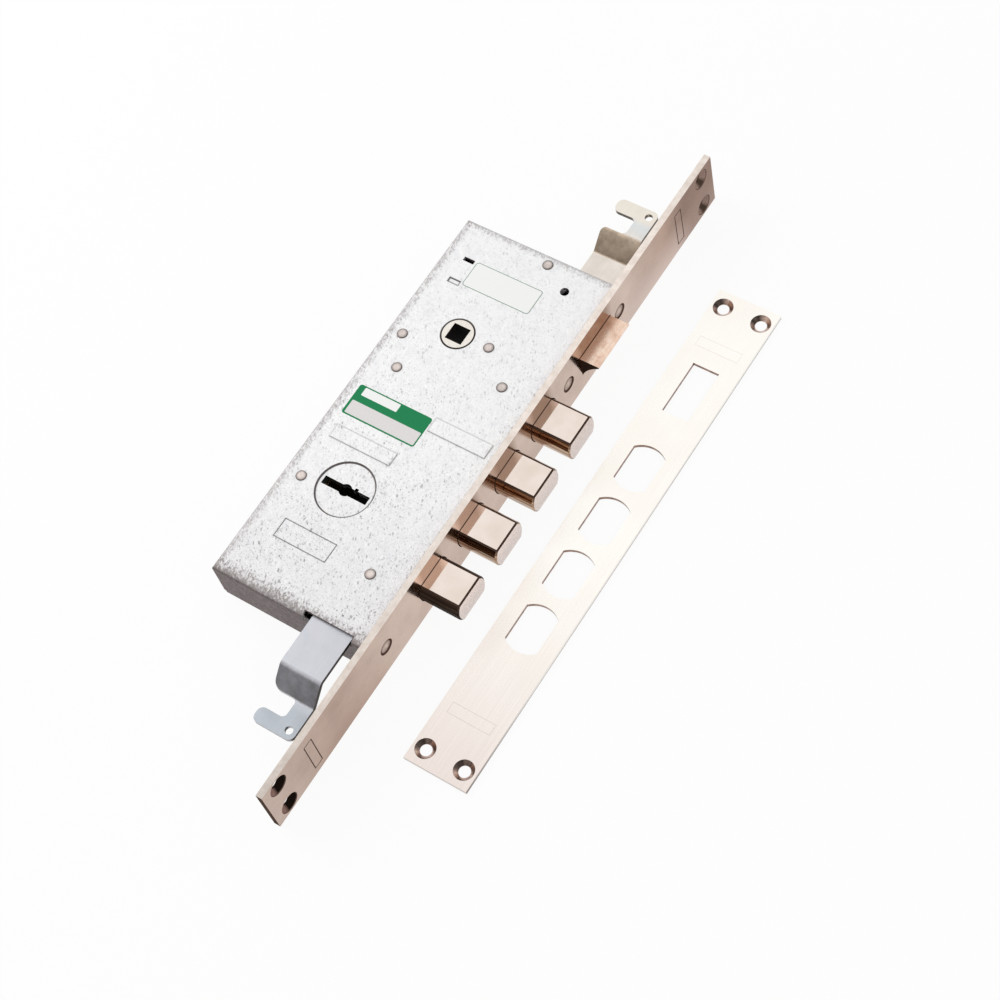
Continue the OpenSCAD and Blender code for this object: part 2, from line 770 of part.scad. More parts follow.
// Hook strip as it leaves the low end of the case: flat under the face, bent down to the
// middle of the lock, then a neck with an arm to the rear that leaves an open gap
module hook_strip(inner_y, pin_y, relief) {
  y2 = -hook_tip + hook_arm + hook_gap;
  angle = atan2(strip_mid, -hook_bend - y2);
  run = hook_bend_r * tan(angle / 2);
  middle = concat([[inner_y, strip_mid]],
                  [for (k = [0:4]) [-hook_bend + run - hook_bend_r * sin(angle * k / 4),
                                    strip_mid - hook_bend_r * (1 - cos(angle * k / 4))]],
                  [for (k = [0:4]) [y2 - run + hook_bend_r * sin(angle - angle * k / 4),
                                    hook_bend_r * (1 - cos(angle - angle * k / 4))]],
                  [[-hook_tip - 1, 0]]);
  low_side = strip_side(middle, -hook_thickness / 2);
  last = len(low_side) - 1;
  difference() {
    intersection() {
      translate([hook_pin_x - 5, 0, 0])
        rotate([90, 0, 90])
          linear_extrude(hook_x1 - hook_pin_x + 5)
            polygon(concat(strip_side(middle, hook_thickness / 2), [for (i = [0:last]) low_side[last - i]]));
      translate([0, 0, -face_z])
        linear_extrude(case_thickness)
          difference() {
            union() {
              translate([hook_pin_x - 5, max(pin_y - 5, case_y0 + sheet + 0.3)])
                square([hook_x1 - hook_pin_x + 5, inner_y - max(pin_y - 5, case_y0 + sheet + 0.3)]);
              round_plan(hook_x0, hook_x1, y2, inner_y, 3);
              round_plan(hook_x0, hook_x1, -hook_tip, -hook_tip + hook_arm, 2.8);
              translate([hook_neck_x - 3, -hook_tip + hook_arm / 2])
                square([hook_x1 - hook_neck_x + 3, hook_arm / 2 + hook_gap + 3]);
            }
            round_plan(hook_x0 - 5, hook_neck_x, -hook_tip + hook_arm, y2, 2.2);
          }
    }
    post([hook_x1 - 3.6, -hook_tip + 3.7], -5, 5, hook_hole_d);
    post([hook_pin_x, pin_y], strip_z0 - 1, strip_z1 + 1, hook_pin_d + 2 * seat_gap);
    if (relief)
      block(hook_stud[0] - 3, hook_stud[0] + 3, inner_y - 9, inner_y + 1, strip_z0 - 1, strip_z1 + 1);
  }
}

module lower_hook() {
  color([0.70, 0.71, 0.74])
    hook_strip(lower_pin_y + 5, lower_pin_y, true);
}

module upper_hook() {
  color([0.84, 0.82, 0.78])
    rotate([180, 0, 0])
      hook_strip(-upper_pin_y + 5, -upper_pin_y, false);
}

module lower_hook_pin() {
  color([0.66, 0.66, 0.68])
  post([hook_pin_x, lower_pin_y], -plate_z - 0.3, strip_z1, hook_pin_d);
}

module upper_hook_pin() {
  color([0.66, 0.66, 0.68])
  post([hook_pin_x, upper_pin_y], -strip_z1, plate_z + 0.3, hook_pin_d);
}

// Loose piece
module strike_plate() {
  first = strike_y + strike_shift;
  hole_y = strike_length / 2 - 7.4;
  color([0.95, 0.92, 0.88])
  difference() {
    block(strike_x - strike_width / 2, strike_x + strike_width / 2, strike_y - strike_length / 2,
          strike_y + strike_length / 2, bench_z, strike_top);
    for (y = bolt_y)
      intersection() {
        post([strike_x, first + y], bench_z - 1, strike_top + 1, strike_hole_d);
        block(strike_x - strike_hole_w / 2, strike_x + strike_hole_w / 2,
              first + y - bolt_d, first + y + bolt_d, bench_z - 2, strike_top + 2);
      }
    block(strike_x - latch_thickness / 2 - 0.3, strike_x + latch_thickness / 2 + 0.3,
          first + latch_y0 - 0.9, first + latch_y1 + 0.9, bench_z - 1, strike_top + 1);
    for (x = [-1, 1], y = [-1, 1])
      translate([strike_x + x * end_hole_span / 2, strike_y + y * hole_y, 0]) {
        post([0, 0], bench_z - 1, strike_top + 1, fixing_hole_d);
        translate([0, 0, strike_top - strike_sink_depth])
          cylinder(d1 = fixing_hole_d, d2 = strike_sink_d, h = strike_sink_depth);
        post([0, 0], strike_top, strike_top + 1, strike_sink_d);
      }
    for (s = [-1, 1])
      difference() {
        block(strike_x - 10.5, strike_x + 10.5, strike_y + s * (hole_y - 19.5) - 2.7,
              strike_y + s * (hole_y - 19.5) + 2.7, strike_top - 0.2, strike_top + 1);
        block(strike_x - 10, strike_x + 10, strike_y + s * (hole_y - 19.5) - 2.2,
              strike_y + s * (hole_y - 19.5) + 2.2, strike_top - 1, strike_top + 2);
      }
  }
}

case_shell();
back_cover();
case_pillars();
face_studs();
forend_plate();
forend_screws();
forend_nuts();
drill_guard();
guard_rivets();
lever_post();
lever_springs();
spring_anchor();
latch_spring();
follower_spring();
bolt_carriage();
bolt_pins();
lever_stump();
deadbolt_1();
deadbolt_2();
deadbolt_3();
deadbolt_4();
latch_bolt();
latch_tail();
follower_hub();
front_key_disc();
rear_key_disc();
lever_1();
lever_2();
lever_3();
lever_4();
lever_5();
lever_6();
lower_hook();
lower_hook_pin();
upper_hook();
upper_hook_pin();
strike_plate();
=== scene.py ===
# %% [markdown]
# A mortise lock lies on a bench with its strike plate beside it. The steel itself comes
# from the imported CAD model, which is loaded as a fixed frame. What is made here is what
# CAD leaves out: zinc spangle, brushed and polished nickel, stickers, and the studio.
# Everything is in metres, in the same frame as the CAD: +X is the way the bolts go out,
# +Y runs along the forend to the latch end, and +Z comes up out of the keyhole face.

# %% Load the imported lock
import math

import bmesh
import bpy
from mathutils import Matrix, Vector


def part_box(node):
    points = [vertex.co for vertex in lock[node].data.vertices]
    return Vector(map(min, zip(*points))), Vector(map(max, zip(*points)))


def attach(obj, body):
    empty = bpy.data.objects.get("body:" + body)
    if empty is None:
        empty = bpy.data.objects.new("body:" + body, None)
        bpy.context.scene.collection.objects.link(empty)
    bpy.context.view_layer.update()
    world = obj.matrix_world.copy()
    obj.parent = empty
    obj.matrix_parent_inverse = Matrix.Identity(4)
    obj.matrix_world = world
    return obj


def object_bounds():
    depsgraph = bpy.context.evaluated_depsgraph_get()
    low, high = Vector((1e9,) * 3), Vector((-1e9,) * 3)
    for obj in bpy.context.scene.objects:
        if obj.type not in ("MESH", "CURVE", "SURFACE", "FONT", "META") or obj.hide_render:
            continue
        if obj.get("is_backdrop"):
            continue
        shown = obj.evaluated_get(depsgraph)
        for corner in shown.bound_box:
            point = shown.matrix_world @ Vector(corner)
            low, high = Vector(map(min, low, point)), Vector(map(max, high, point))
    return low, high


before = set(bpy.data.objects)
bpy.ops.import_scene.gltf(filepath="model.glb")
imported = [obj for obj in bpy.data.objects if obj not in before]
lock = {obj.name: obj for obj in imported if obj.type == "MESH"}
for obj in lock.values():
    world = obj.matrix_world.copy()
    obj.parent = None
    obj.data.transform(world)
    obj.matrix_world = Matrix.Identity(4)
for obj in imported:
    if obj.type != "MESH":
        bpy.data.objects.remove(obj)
cad_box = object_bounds()
MM = 0.001


def in_mm(corners):
    """The two corners of a box, in millimetres."""
    return [corner / MM for corner in corners]


def tell_box(label, corners):
    print(label, [[round(v, 1) for v in corner] for corner in in_mm(corners)])


tell_box("CAD box in mm:", cad_box)

# %% [markdown]
# The camera stands where the photographer stood. Its place and direction were worked out
# from straight edges of the case and the forend, so the direction vectors are written down
# as they are, and the lens comes from the same fit. A camera in Blender looks along its own
# -Z with +Y up, so its matrix takes right, up and backward as columns.

# %% Camera at the photograph's angle
camera_place = Vector((344.0, -309.6, 787.0)) * MM
looks_along = Vector((-0.37431, 0.32942, -0.86682)).normalized()
picture_right = Vector((0.82906, 0.53762, -0.15369)).normalized()
picture_up = picture_right.cross(looks_along).normalized()
picture_right = looks_along.cross(picture_up).normalized()

camera_data = bpy.data.cameras.new("product_camera")
camera_data.sensor_width = 36.0
camera_data.lens = 79.68
camera_data.clip_start, camera_data.clip_end = 0.01, 50
camera = bpy.data.objects.new("product_camera", camera_data)
bpy.context.scene.collection.objects.link(camera)
turn = Matrix((picture_right, picture_up, -looks_along)).transposed()
camera.matrix_world = Matrix.Translation(camera_place) @ turn.to_4x4()
bpy.context.scene.camera = camera
print("camera", round(camera_place.length, 3), "m from the forend's middle")

# %% [markdown]
# The picture has a plain white ground. A world that sends full white to the camera and to
# mirror-like metal gives that, while the light that falls on the lock stays at a plain
# level. The two helpers made here, one step of arithmetic and one change of range, serve
# every finish further down as well.

# %% White world
scene = bpy.context.scene
scene.view_settings.view_transform = "Standard"
SOFT_LIGHT, SEEN_LIGHT = 0.6, 1.0


def sums(tree, operation, a, b=0):
    """One step of arithmetic with node outputs or plain numbers."""
    step = tree.nodes.new("ShaderNodeMath")
    step.operation = operation
    for socket, value in zip(step.inputs, (a, b)):
        if isinstance(value, (int, float)):
            socket.default_value = value
        else:
            tree.links.new(value, socket)
    return step.outputs[0]


def fit(tree, value, low, high, to_low, to_high):
    """Carry a value from one range over to another, held at both ends."""
    span = tree.nodes.new("ShaderNodeMapRange")
    sockets = ("From Min", "From Max", "To Min", "To Max")
    for socket, number in zip(sockets, (low, high, to_low, to_high)):
        span.inputs[socket].default_value = number
    tree.links.new(value, span.inputs["Value"])
    return span.outputs["Result"]


def straight_rays(tree):
    """1 for rays from the camera, from a mirror or through glass, 0 for soft light."""
    path = tree.nodes.new("ShaderNodeLightPath")
    first = sums(tree, "MAXIMUM", path.outputs["Is Camera Ray"], path.outputs["Is Glossy Ray"])
    return sums(tree, "MAXIMUM", first, path.outputs["Is Transmission Ray"])


world = bpy.data.worlds.new("studio")
world.use_nodes = True
scene.world = world
tree = world.node_tree
backdrop = tree.nodes["Background"]
backdrop.inputs["Color"].default_value = (1.0, 1.0, 1.0, 1)
level = fit(tree, straight_rays(tree), 0, 1, SOFT_LIGHT, SEEN_LIGHT)
tree.links.new(level, backdrop.inputs["Strength"])
print("world", world.name, "from", SOFT_LIGHT, "to", SEEN_LIGHT)

# %% [markdown]
# The bench is white paper. Near the lock it keeps a little of its own shading, which holds
# a soft shadow; further out it fades to the same white as the world, so no horizon shows.

# %% White bench
BENCH_SIZE = 6.0
BENCH_GAP = 0.00002
NEAR, FAR = 0.25, 0.9
bench_top = cad_box[0].z
bpy.ops.mesh.primitive_plane_add(size=BENCH_SIZE, location=(0, 0, bench_top - BENCH_GAP))
floor = bpy.context.object
floor.name = "bench"
paper = bpy.data.materials.new("white_paper")
paper.use_nodes = True
tree = paper.node_tree
tree.nodes.clear()
matt = tree.nodes.new("ShaderNodeBsdfDiffuse")
matt.inputs["Color"].default_value = (0.93, 0.93, 0.93, 1)
glow = tree.nodes.new("ShaderNodeEmission")
glow.inputs["Color"].default_value = (1, 1, 1, 1)
spot = tree.nodes.new("ShaderNodeTexCoord")
away = tree.nodes.new("ShaderNodeVectorMath")
away.operation = "LENGTH"
tree.links.new(spot.outputs["Object"], away.inputs[0])
white_share = fit(tree, away.outputs["Value"], NEAR, FAR, 0.92, 1.0)
both = tree.nodes.new("ShaderNodeMixShader")
tree.links.new(sums(tree, "MULTIPLY", straight_rays(tree), white_share), both.inputs[0])
tree.links.new(matt.outputs[0], both.inputs[1])
tree.links.new(glow.outputs[0], both.inputs[2])
out = tree.nodes.new("ShaderNodeOutputMaterial")
tree.links.new(both.outputs[0], out.inputs[0])
floor.data.materials.append(paper)
floor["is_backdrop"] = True
print("bench at", round(bench_top / MM, 2), "mm")

# %% [markdown]
# Two soft boxes light the lock: the larger one from the upper left of the picture, so that
# raised bars show a dark lower edge, and a weaker one from the right. A dark card stands
# low at the near end. The camera doesn't see it, but mirror-like metal does, which is how a
# photographer gives bare metal its dark lines.

# %% Soft boxes and the dark card


def soft_box(name, place, aim, size, power):
    lamp = bpy.data.lights.new(name, "AREA")
    lamp.shape = "RECTANGLE"
    lamp.size, lamp.size_y = size
    lamp.energy = power
    box = bpy.data.objects.new(name, lamp)
    scene.collection.objects.link(box)
    box.location = place
    box.rotation_mode = "QUATERNION"
    box.rotation_quaternion = (Vector(aim) - Vector(place)).to_track_quat("-Z", "Y")
    return box


key_box = soft_box("key_box", place=(-0.95, -0.05, 0.66), aim=(-0.02, 0, 0),
                   size=(0.8, 0.8), power=6.2)
fill_box = soft_box("fill_box", place=(0.8, 0.1, 0.8), aim=(0, 0, 0),
                    size=(0.6, 0.9), power=1.4)

bpy.ops.mesh.primitive_plane_add(size=1, location=(-0.25, -1.0, 0.22))
card = bpy.context.object
card.name = "dark_card"
card.scale = (1.5, 0.42, 1)
card.rotation_euler = (math.radians(90), 0, 0)
card.visible_camera = False
card.visible_shadow = False
card.visible_diffuse = False
card_paper = bpy.data.materials.new("dark_paper")
card_paper.use_nodes = True
card_skin = card_paper.node_tree.nodes["Principled BSDF"]
card_skin.inputs["Base Color"].default_value = (0.05, 0.045, 0.045, 1)
card_skin.inputs["Roughness"].default_value = 0.9
card.data.materials.append(card_paper)
card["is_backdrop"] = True
print("lamps", [lamp.name for lamp in (key_box, fill_box)], "and", card.name)

# %% [markdown]
# Every finish below is painted with masks. A mask is a number from 0 to 1 that says how
# much of a colour a spot takes. A product of masks narrows a place down, the largest of
# some masks joins them, and a band picks out what lies between two values.

# %% Helpers for masks
X, Y, Z = 0, 1, 2


def chain(tree, operation, values):
    total = values[0]
    for value in values[1:]:
        total = sums(tree, operation, total, value)
    return total


def times(tree, *values):
    return chain(tree, "MULTIPLY", values)


def most(tree, *values):
    return chain(tree, "MAXIMUM", values)


def least(tree, *values):
    return chain(tree, "MINIMUM", values)


def unsigned(tree, value):
    return sums(tree, "ABSOLUTE", value)


def without(tree, mask):
    """1 where the mask is 0, and 0 where it is 1."""
    return fit(tree, mask, 0, 1, 1, 0)


def band(tree, value, start, full, fade, end):
    """1 from full to fade, falling to 0 at start and at end."""
    return times(tree, fit(tree, value, start, full, 0, 1), fit(tree, value, fade, end, 1, 0))


print("mask helpers ready")

# %% [markdown]
# Place is read in object space and turned into millimetres. The CAD nodes sit at the
# origin, so a number in a finish is a real place on the lock. A place that is squeezed
# along one axis draws noise out into brushed marks.

# %% Helpers for place
RING_BLUR = 0.12


def place_mm(tree, stretch=(1, 1, 1)):
    spot = tree.nodes.new("ShaderNodeTexCoord")
    scaled = tree.nodes.new("ShaderNodeVectorMath")
    scaled.operation = "MULTIPLY"
    scaled.inputs[1].default_value = [s / MM for s in stretch]
    tree.links.new(spot.outputs["Object"], scaled.inputs[0])
    return scaled.outputs[0]


def split(tree, place):
    """X, Y and Z of a place or a direction."""
    parts = tree.nodes.new("ShaderNodeSeparateXYZ")
    tree.links.new(place, parts.inputs[0])
    return parts.outputs[X], parts.outputs[Y], parts.outputs[Z]


def facing(tree, axis):
    """How far the surface faces along X, Y or Z of its own object, from -1 to 1."""
    spot = tree.nodes.new("ShaderNodeTexCoord")
    return split(tree, spot.outputs["Normal"])[axis]


def from_axis(tree, place, centre):
    """Distance in plan to an upright axis."""
    flat = tree.nodes.new("ShaderNodeVectorMath")
    flat.operation = "MULTIPLY"
    flat.inputs[1].default_value = (1, 1, 0)
    tree.links.new(place, flat.inputs[0])
    far = tree.nodes.new("ShaderNodeVectorMath")
    far.operation = "DISTANCE"
    far.inputs[1].default_value = (*centre, 0)
    tree.links.new(flat.outputs[0], far.inputs[0])
    return far.outputs["Value"]


def ring_mask(tree, place, centre, inner, outer):
    """1 between two radii round an upright axis."""
    far = from_axis(tree, place, centre)
    return band(tree, far, inner - RING_BLUR, inner, outer, outer + RING_BLUR)


print("place helpers ready")

# %% [markdown]
# The rest of a finish is the same each time too: a new material, noise, a colour ramp, a
# mix of two colours, bump, and the links to the Principled shader. Holes, dirt and cut
# edges on plated metal aren't metal to the eye, so the metal share can follow a mask.

# %% Helpers for colour and relief
WHITE = (1, 1, 1)


def new_finish(name, metal, rough, gloss=0.5):
    finish = bpy.data.materials.new(name)
    finish.use_nodes = True
    skin = finish.node_tree.nodes["Principled BSDF"]
    skin.inputs["Metallic"].default_value = metal
    skin.inputs["Roughness"].default_value = rough
    skin.inputs["Specular IOR Level"].default_value = gloss
    return finish, finish.node_tree, skin


def noise(tree, place, scale, detail, rough):
    cloud = tree.nodes.new("ShaderNodeTexNoise")
    cloud.inputs["Scale"].default_value = scale
    cloud.inputs["Detail"].default_value = detail
    cloud.inputs["Roughness"].default_value = rough
    tree.links.new(place, cloud.inputs["Vector"])
    return cloud.outputs["Fac"]


def ramp(tree, value, stops):
    strip = tree.nodes.new("ShaderNodeValToRGB")
    marks = strip.color_ramp.elements
    while len(marks) < len(stops):
        marks.new(0.5)
    for mark, (at, colour) in zip(marks, stops):
        mark.position = at
        mark.color = (*colour, 1)
    tree.links.new(value, strip.inputs["Fac"])
    return strip.outputs["Color"]


def two_tone(tree, value, dark, pale, low=0.3, high=0.7):
    """A dark tone up to a low value, a pale one from a high value on."""
    return ramp(tree, value, [(low, dark), (high, pale)])


def blend_colours(tree, share, first, second, how="MIX"):
    mix = tree.nodes.new("ShaderNodeMix")
    mix.data_type = "RGBA"
    mix.blend_type = how
    sockets = (mix.inputs[0], mix.inputs[6], mix.inputs[7])
    for socket, value in zip(sockets, (share, first, second)):
        if isinstance(value, (int, float)):
            socket.default_value = value
        elif isinstance(value, tuple):
            socket.default_value = (*value, 1)
        else:
            tree.links.new(value, socket)
    return mix.outputs[2]


def tinted(tree, colour, tint):
    return blend_colours(tree, 1.0, colour, tint, "MULTIPLY")


def bump(tree, skin, height, strength, depth):
    """Relief from a height; the depth is in millimetres."""
    dent = tree.nodes.new("ShaderNodeBump")
    dent.inputs["Strength"].default_value = strength
    dent.inputs["Distance"].default_value = depth * MM
    tree.links.new(height, dent.inputs["Height"])
    tree.links.new(dent.outputs["Normal"], skin.inputs["Normal"])


def put_on(tree, skin, colour, rough, metal=None):
    tree.links.new(colour, skin.inputs["Base Color"])
    tree.links.new(rough, skin.inputs["Roughness"])
    if metal is not None:
        tree.links.new(metal, skin.inputs["Metallic"])


print("finish helpers ready")

# %% [markdown]
# The case is folded from zinc-coated sheet. Zinc that was hot dipped has a pale, almost
# white skin with small dark pits, thicker at the end that drained last. A cell texture
# gives one pit to a cell, of random size, which spreads them evenly, as on the real sheet;
# plain noise would draw clouds.

# %% Flecked zinc
DRAIN_TURN = math.radians(28)
SMOOTH_END, ROUGH_END = 55, -75


def shaken(tree, place, scale, far):
    """Place moved about by noise, so that straight cell borders turn wavy."""
    cloud = tree.nodes.new("ShaderNodeTexNoise")
    cloud.inputs["Scale"].default_value = scale
    cloud.inputs["Detail"].default_value = 3.0
    tree.links.new(place, cloud.inputs["Vector"])
    shift = tree.nodes.new("ShaderNodeVectorMath")
    shift.operation = "SCALE"
    shift.inputs["Scale"].default_value = far
    tree.links.new(cloud.outputs["Color"], shift.inputs[0])
    moved = tree.nodes.new("ShaderNodeVectorMath")
    tree.links.new(place, moved.inputs[0])
    tree.links.new(shift.outputs[0], moved.inputs[1])
    return moved.outputs[0]


def drained(tree, place, long):
    """Place turned to the way the zinc ran off, and drawn out along it."""
    turn = tree.nodes.new("ShaderNodeMapping")
    turn.vector_type = "TEXTURE"
    turn.inputs["Rotation"].default_value = (0, 0, DRAIN_TURN)
    turn.inputs["Scale"].default_value = (1, long, 1)
    tree.links.new(place, turn.inputs["Vector"])
    return turn.outputs["Vector"]


def strokes(tree, place, scale, long, size, share):
    """Small dark marks, one to a cell, of random size; only a share of the cells has one."""
    cells = tree.nodes.new("ShaderNodeTexVoronoi")
    cells.inputs["Scale"].default_value = scale
    wavy = drained(tree, shaken(tree, place, 0.35, 2.2), long)
    tree.links.new(wavy, cells.inputs["Vector"])
    chance, darkness, _ = split(tree, cells.outputs["Color"])
    wide = fit(tree, chance, 1 - share, 1.0, 0.0, size)
    inward = sums(tree, "SUBTRACT", wide, cells.outputs["Distance"])
    mark = fit(tree, inward, -0.04, 0.1, 0, 1)
    return times(tree, mark, fit(tree, darkness, 0, 1, 0.4, 1.0))


def flecked_zinc(tree, place):
    """Pale zinc with lumps, grain, dots and short strokes, and painted shade towards the low
    end; gives the colour and the relief.
    """
    y = split(tree, place)[Y]
    lumps = noise(tree, place, 0.3, 3.0, 0.6)
    white = ramp(tree, lumps, [
        (0.3, (0.87, 0.868, 0.885)), (0.5, (0.925, 0.925, 0.93)), (0.7, (0.95, 0.945, 0.94))])
    # Painted shade: the face greys towards the low end.
    white = blend_colours(tree, fit(tree, y, -15, -80, 0, 0.26), white, (0.62, 0.585, 0.61))
    patch = fit(tree, noise(tree, place, 0.045, 3.0, 0.6), 0.35, 0.62, 0.45, 1.0)
    weight = times(tree, fit(tree, y, SMOOTH_END, ROUGH_END, 0.52, 1.36), patch)
    grain = times(tree, fit(tree, noise(tree, place, 1.5, 3.0, 0.65), 0.46, 0.32, 0, 1), 0.42)
    dots = times(tree, strokes(tree, place, 0.95, 1.3, 0.40, 0.6), 0.65)
    marks = times(tree, strokes(tree, place, 0.85, 2.1, 0.42, 0.8), 0.75)
    dents = times(tree, most(tree, dots, marks, grain), weight)
    colour = blend_colours(tree, dents, white, (0.24, 0.225, 0.225))
    relief = sums(tree, "SUBTRACT", lumps, times(tree, dents, 0.2))
    return colour, relief


def zinc_skin(tree, skin, colour, relief):
    put_on(tree, skin, colour, fit(tree, relief, 0.3, 0.8, 0.6, 0.42))
    bump(tree, skin, relief, 0.6, 0.6)


print("zinc drained at", round(math.degrees(DRAIN_TURN)), "degrees")

# %% [markdown]
# Where the sheet is bent, the coat cracks to a brown mottle, and painted shade greys the
# sheet along the bend. The bars and the slot are pressed into the face, and their outline
# is painted darker as the shade of their edges; that outline is drawn from the same places
# as in the CAD. The walls get painted shade: the wall of the low end is dark and mottled,
# the others are only greyer than the face.

# %% Bends, pressed lines and walls of the case
FACE_Z = 11.5
PRESSED_BARS = ((-71.1, -40.5, -23.4, -17.0), (-35.5, -7.2, -1.9, 5.1))
SHALLOW_SLOT = (-69.5, -64.1, 64.4, 66.5)


def cracked_bend(tree, place, gap, reach):
    """Cracks in the coat that crowd together towards a bend, within a reach."""
    near = fit(tree, gap, 0.0, reach, 1, 0)
    cracks = noise(tree, drained(tree, place, 1.6), 1.1, 4.0, 0.7)
    crowd = sums(tree, "ADD", cracks, times(tree, near, 0.26))
    return times(tree, fit(tree, crowd, 0.56, 0.74, 0, 1), fit(tree, near, 0.0, 0.3, 0, 1))


def bend_shade_and_cracks(tree, place, colour, bends):
    """Painted shade and cracks; a bend is the distance to it, its reach and its depth of tone."""
    for gap, reach, depth in bends:
        # Painted shade along the bend.
        shade = fit(tree, gap, 0.0, reach * 0.8, 0.4 * depth, 0)
        colour = blend_colours(tree, shade, colour, (0.36, 0.31, 0.30))
        mottle = times(tree, cracked_bend(tree, place, gap, reach), depth)
        colour = blend_colours(tree, mottle, colour, (0.20, 0.165, 0.155))
    return colour


def outline_mask(tree, place, x0, x1, y0, y1, width):
    """1 on the border of an upright box in plan, fading out over a width."""
    gaps = []
    for value, start, end in zip(split(tree, place), (x0, y0), (x1, y1)):
        off = unsigned(tree, sums(tree, "SUBTRACT", value, (start + end) / 2))
        gaps.append(sums(tree, "SUBTRACT", off, (end - start) / 2))
    return fit(tree, unsigned(tree, most(tree, *gaps)), 0.1, width, 1, 0)


def face_lines(tree, place, colour, inward):
    """Painted shade round the bars and the slot, and the engraved frame away from the bends."""
    z = split(tree, place)[Z]
    on_face = fit(tree, z, 8.0, 9.0, 0, 1)
    for bar in PRESSED_BARS:
        # Painted shade round the outlines of the bars and the slot.
        line = times(tree, outline_mask(tree, place, *bar, 0.55), on_face, 0.42)
        colour = blend_colours(tree, line, colour, (0.30, 0.285, 0.28))
    slot_outline_shade = times(tree, outline_mask(tree, place, *SHALLOW_SLOT, 0.5), on_face, 0.85)
    colour = blend_colours(tree, slot_outline_shade, colour, (0.035, 0.03, 0.03))
    groove = band(tree, z, FACE_Z - 0.3, FACE_Z - 0.24, FACE_Z - 0.1, FACE_Z - 0.04)
    groove = times(tree, groove, fit(tree, inward, 3.0, 3.5, 0, 1), 0.8)
    return blend_colours(tree, groove, colour, (0.20, 0.19, 0.185))


# Painted shade on the walls: dark and mottled at the low end, greyer than the face elsewhere.
def dark_walls(tree, place, colour):
    z = split(tree, place)[Z]
    mottle = noise(tree, place, 0.9, 5.0, 0.75)
    low_end_wall_shade = two_tone(tree, mottle, (0.05, 0.032, 0.031), (0.20, 0.14, 0.139), 0.38, 0.62)
    low_end_wall_shade = blend_colours(tree, fit(tree, z, 5.0, 11.0, 0, 0.4), low_end_wall_shade, (0.085, 0.065, 0.06))
    side_wall_shade = two_tone(tree, mottle, (0.30, 0.285, 0.28), (0.58, 0.565, 0.56), 0.38, 0.62)
    low_end = fit(tree, facing(tree, Y), -0.8, -0.4, 1, 0)
    wall = fit(tree, unsigned(tree, facing(tree, Z)), 0.35, 0.8, 1, 0)
    tone = blend_colours(tree, low_end, side_wall_shade, low_end_wall_shade)
    return blend_colours(tree, times(tree, wall, 0.94), colour, tone)


print(len(PRESSED_BARS), "pressed bars on the face")

# %% [markdown]
# Now the case's own finish: the flecked zinc, then the bends, lines and walls over it, and
# a dark rim round the openings of the follower and the key disc: painted shade of the gap,
# with old oil in it.

# %% Zinc-coated sheet of the case
HUB = (-50.5, 43.8)
KEY = (-50.5, -41.2)
case_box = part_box("case_shell")


def case_sheet():
    finish, tree, skin = new_finish("case_zinc", 0.15, 0.5)
    place = place_mm(tree)
    x, y, _ = split(tree, place)
    low, high = in_mm(case_box)
    near_end = sums(tree, "SUBTRACT", y, low.y)
    far_end = sums(tree, "SUBTRACT", high.y, y)
    rear = sums(tree, "SUBTRACT", x, low.x)
    colour, relief = flecked_zinc(tree, place)
    bends = ((near_end, 8.0, 0.8), (far_end, 5.0, 0.45), (rear, 5.5, 0.55))
    colour = bend_shade_and_cracks(tree, place, colour, bends)
    colour = face_lines(tree, place, colour, least(tree, near_end, far_end, rear))
    colour = dark_walls(tree, place, colour)
    # Painted shade of the gaps round the follower and the key disc, with old oil.
    hub_rim = ring_mask(tree, place, HUB, 7.3, 7.62)
    key_rim = ring_mask(tree, place, KEY, 12.75, 13.15)
    gap_shade_and_oil = times(tree, most(tree, hub_rim, key_rim), 0.88)
    colour = blend_colours(tree, gap_shade_and_oil, colour, (0.06, 0.042, 0.036))
    zinc_skin(tree, skin, colour, relief)
    return finish


case_zinc = case_sheet()
tell_box("case in mm:", case_box)

# %% [markdown]
# The key discs are punched from the same sheet, and their slot is a shaft into the lock.
# The walls of the slot lie below the face, so the finish turns black by height, as painted
# shade. Round the edge of a disc a dark ring is painted as the shade of its gap in the case.

# %% Key discs
KEY_SHAFT = (10.75, 10.88)


def disc_zinc():
    finish, tree, skin = new_finish("disc_zinc", 0.15, 0.5)
    place = place_mm(tree)
    colour, relief = flecked_zinc(tree, place)
    height = unsigned(tree, split(tree, place)[Z])
    # Painted shade: the walls of the slot below the face turn black.
    shaft = fit(tree, height, *KEY_SHAFT, 1, 0)
    colour = blend_colours(tree, shaft, colour, (0.008, 0.007, 0.007))
    # Painted shade of the gap round the edge of the disc.
    disc_gap_shade = times(tree, ring_mask(tree, place, KEY, 12.5, 14.0), 0.85)
    colour = blend_colours(tree, disc_gap_shade, colour, (0.07, 0.05, 0.043))
    zinc_skin(tree, skin, colour, relief)
    return finish


key_zinc = disc_zinc()
print(key_zinc.name)

# %% [markdown]
# The forend is plated in warm nickel and brushed along its length. Its broad front is a
# half mirror with a rose tone that turns brown towards the far end, and over each bolt it
# carries a painted reflection of that bolt, in dark brown. The flat of a deadbolt is a chord
# of its round, so the width of that painted reflection comes from the bolt's own box.

# %% Front of the forend
HALF_LONG, HALF_WIDE, THICK = 169.0, 15.0, 3.0
BOLTS = ("deadbolt_1", "deadbolt_2", "deadbolt_3", "deadbolt_4", "latch_bolt")


def painted_bolt_reflection(tree, name, y, z):
    """The part of the front that lies above a bolt, where its reflection is painted."""
    start, end = in_mm(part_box(name))
    wide = end.y - start.y
    if name != "latch_bolt":
        wide = math.sqrt(wide ** 2 - (end.z - start.z) ** 2)
    off = unsigned(tree, sums(tree, "SUBTRACT", y, (start.y + end.y) / 2))
    beside = fit(tree, off, wide / 2 - 2.5, wide / 2 + 2.0, 0.8, 0)
    return times(tree, beside, fit(tree, z, end.z - 3.0, end.z, 0, 1))


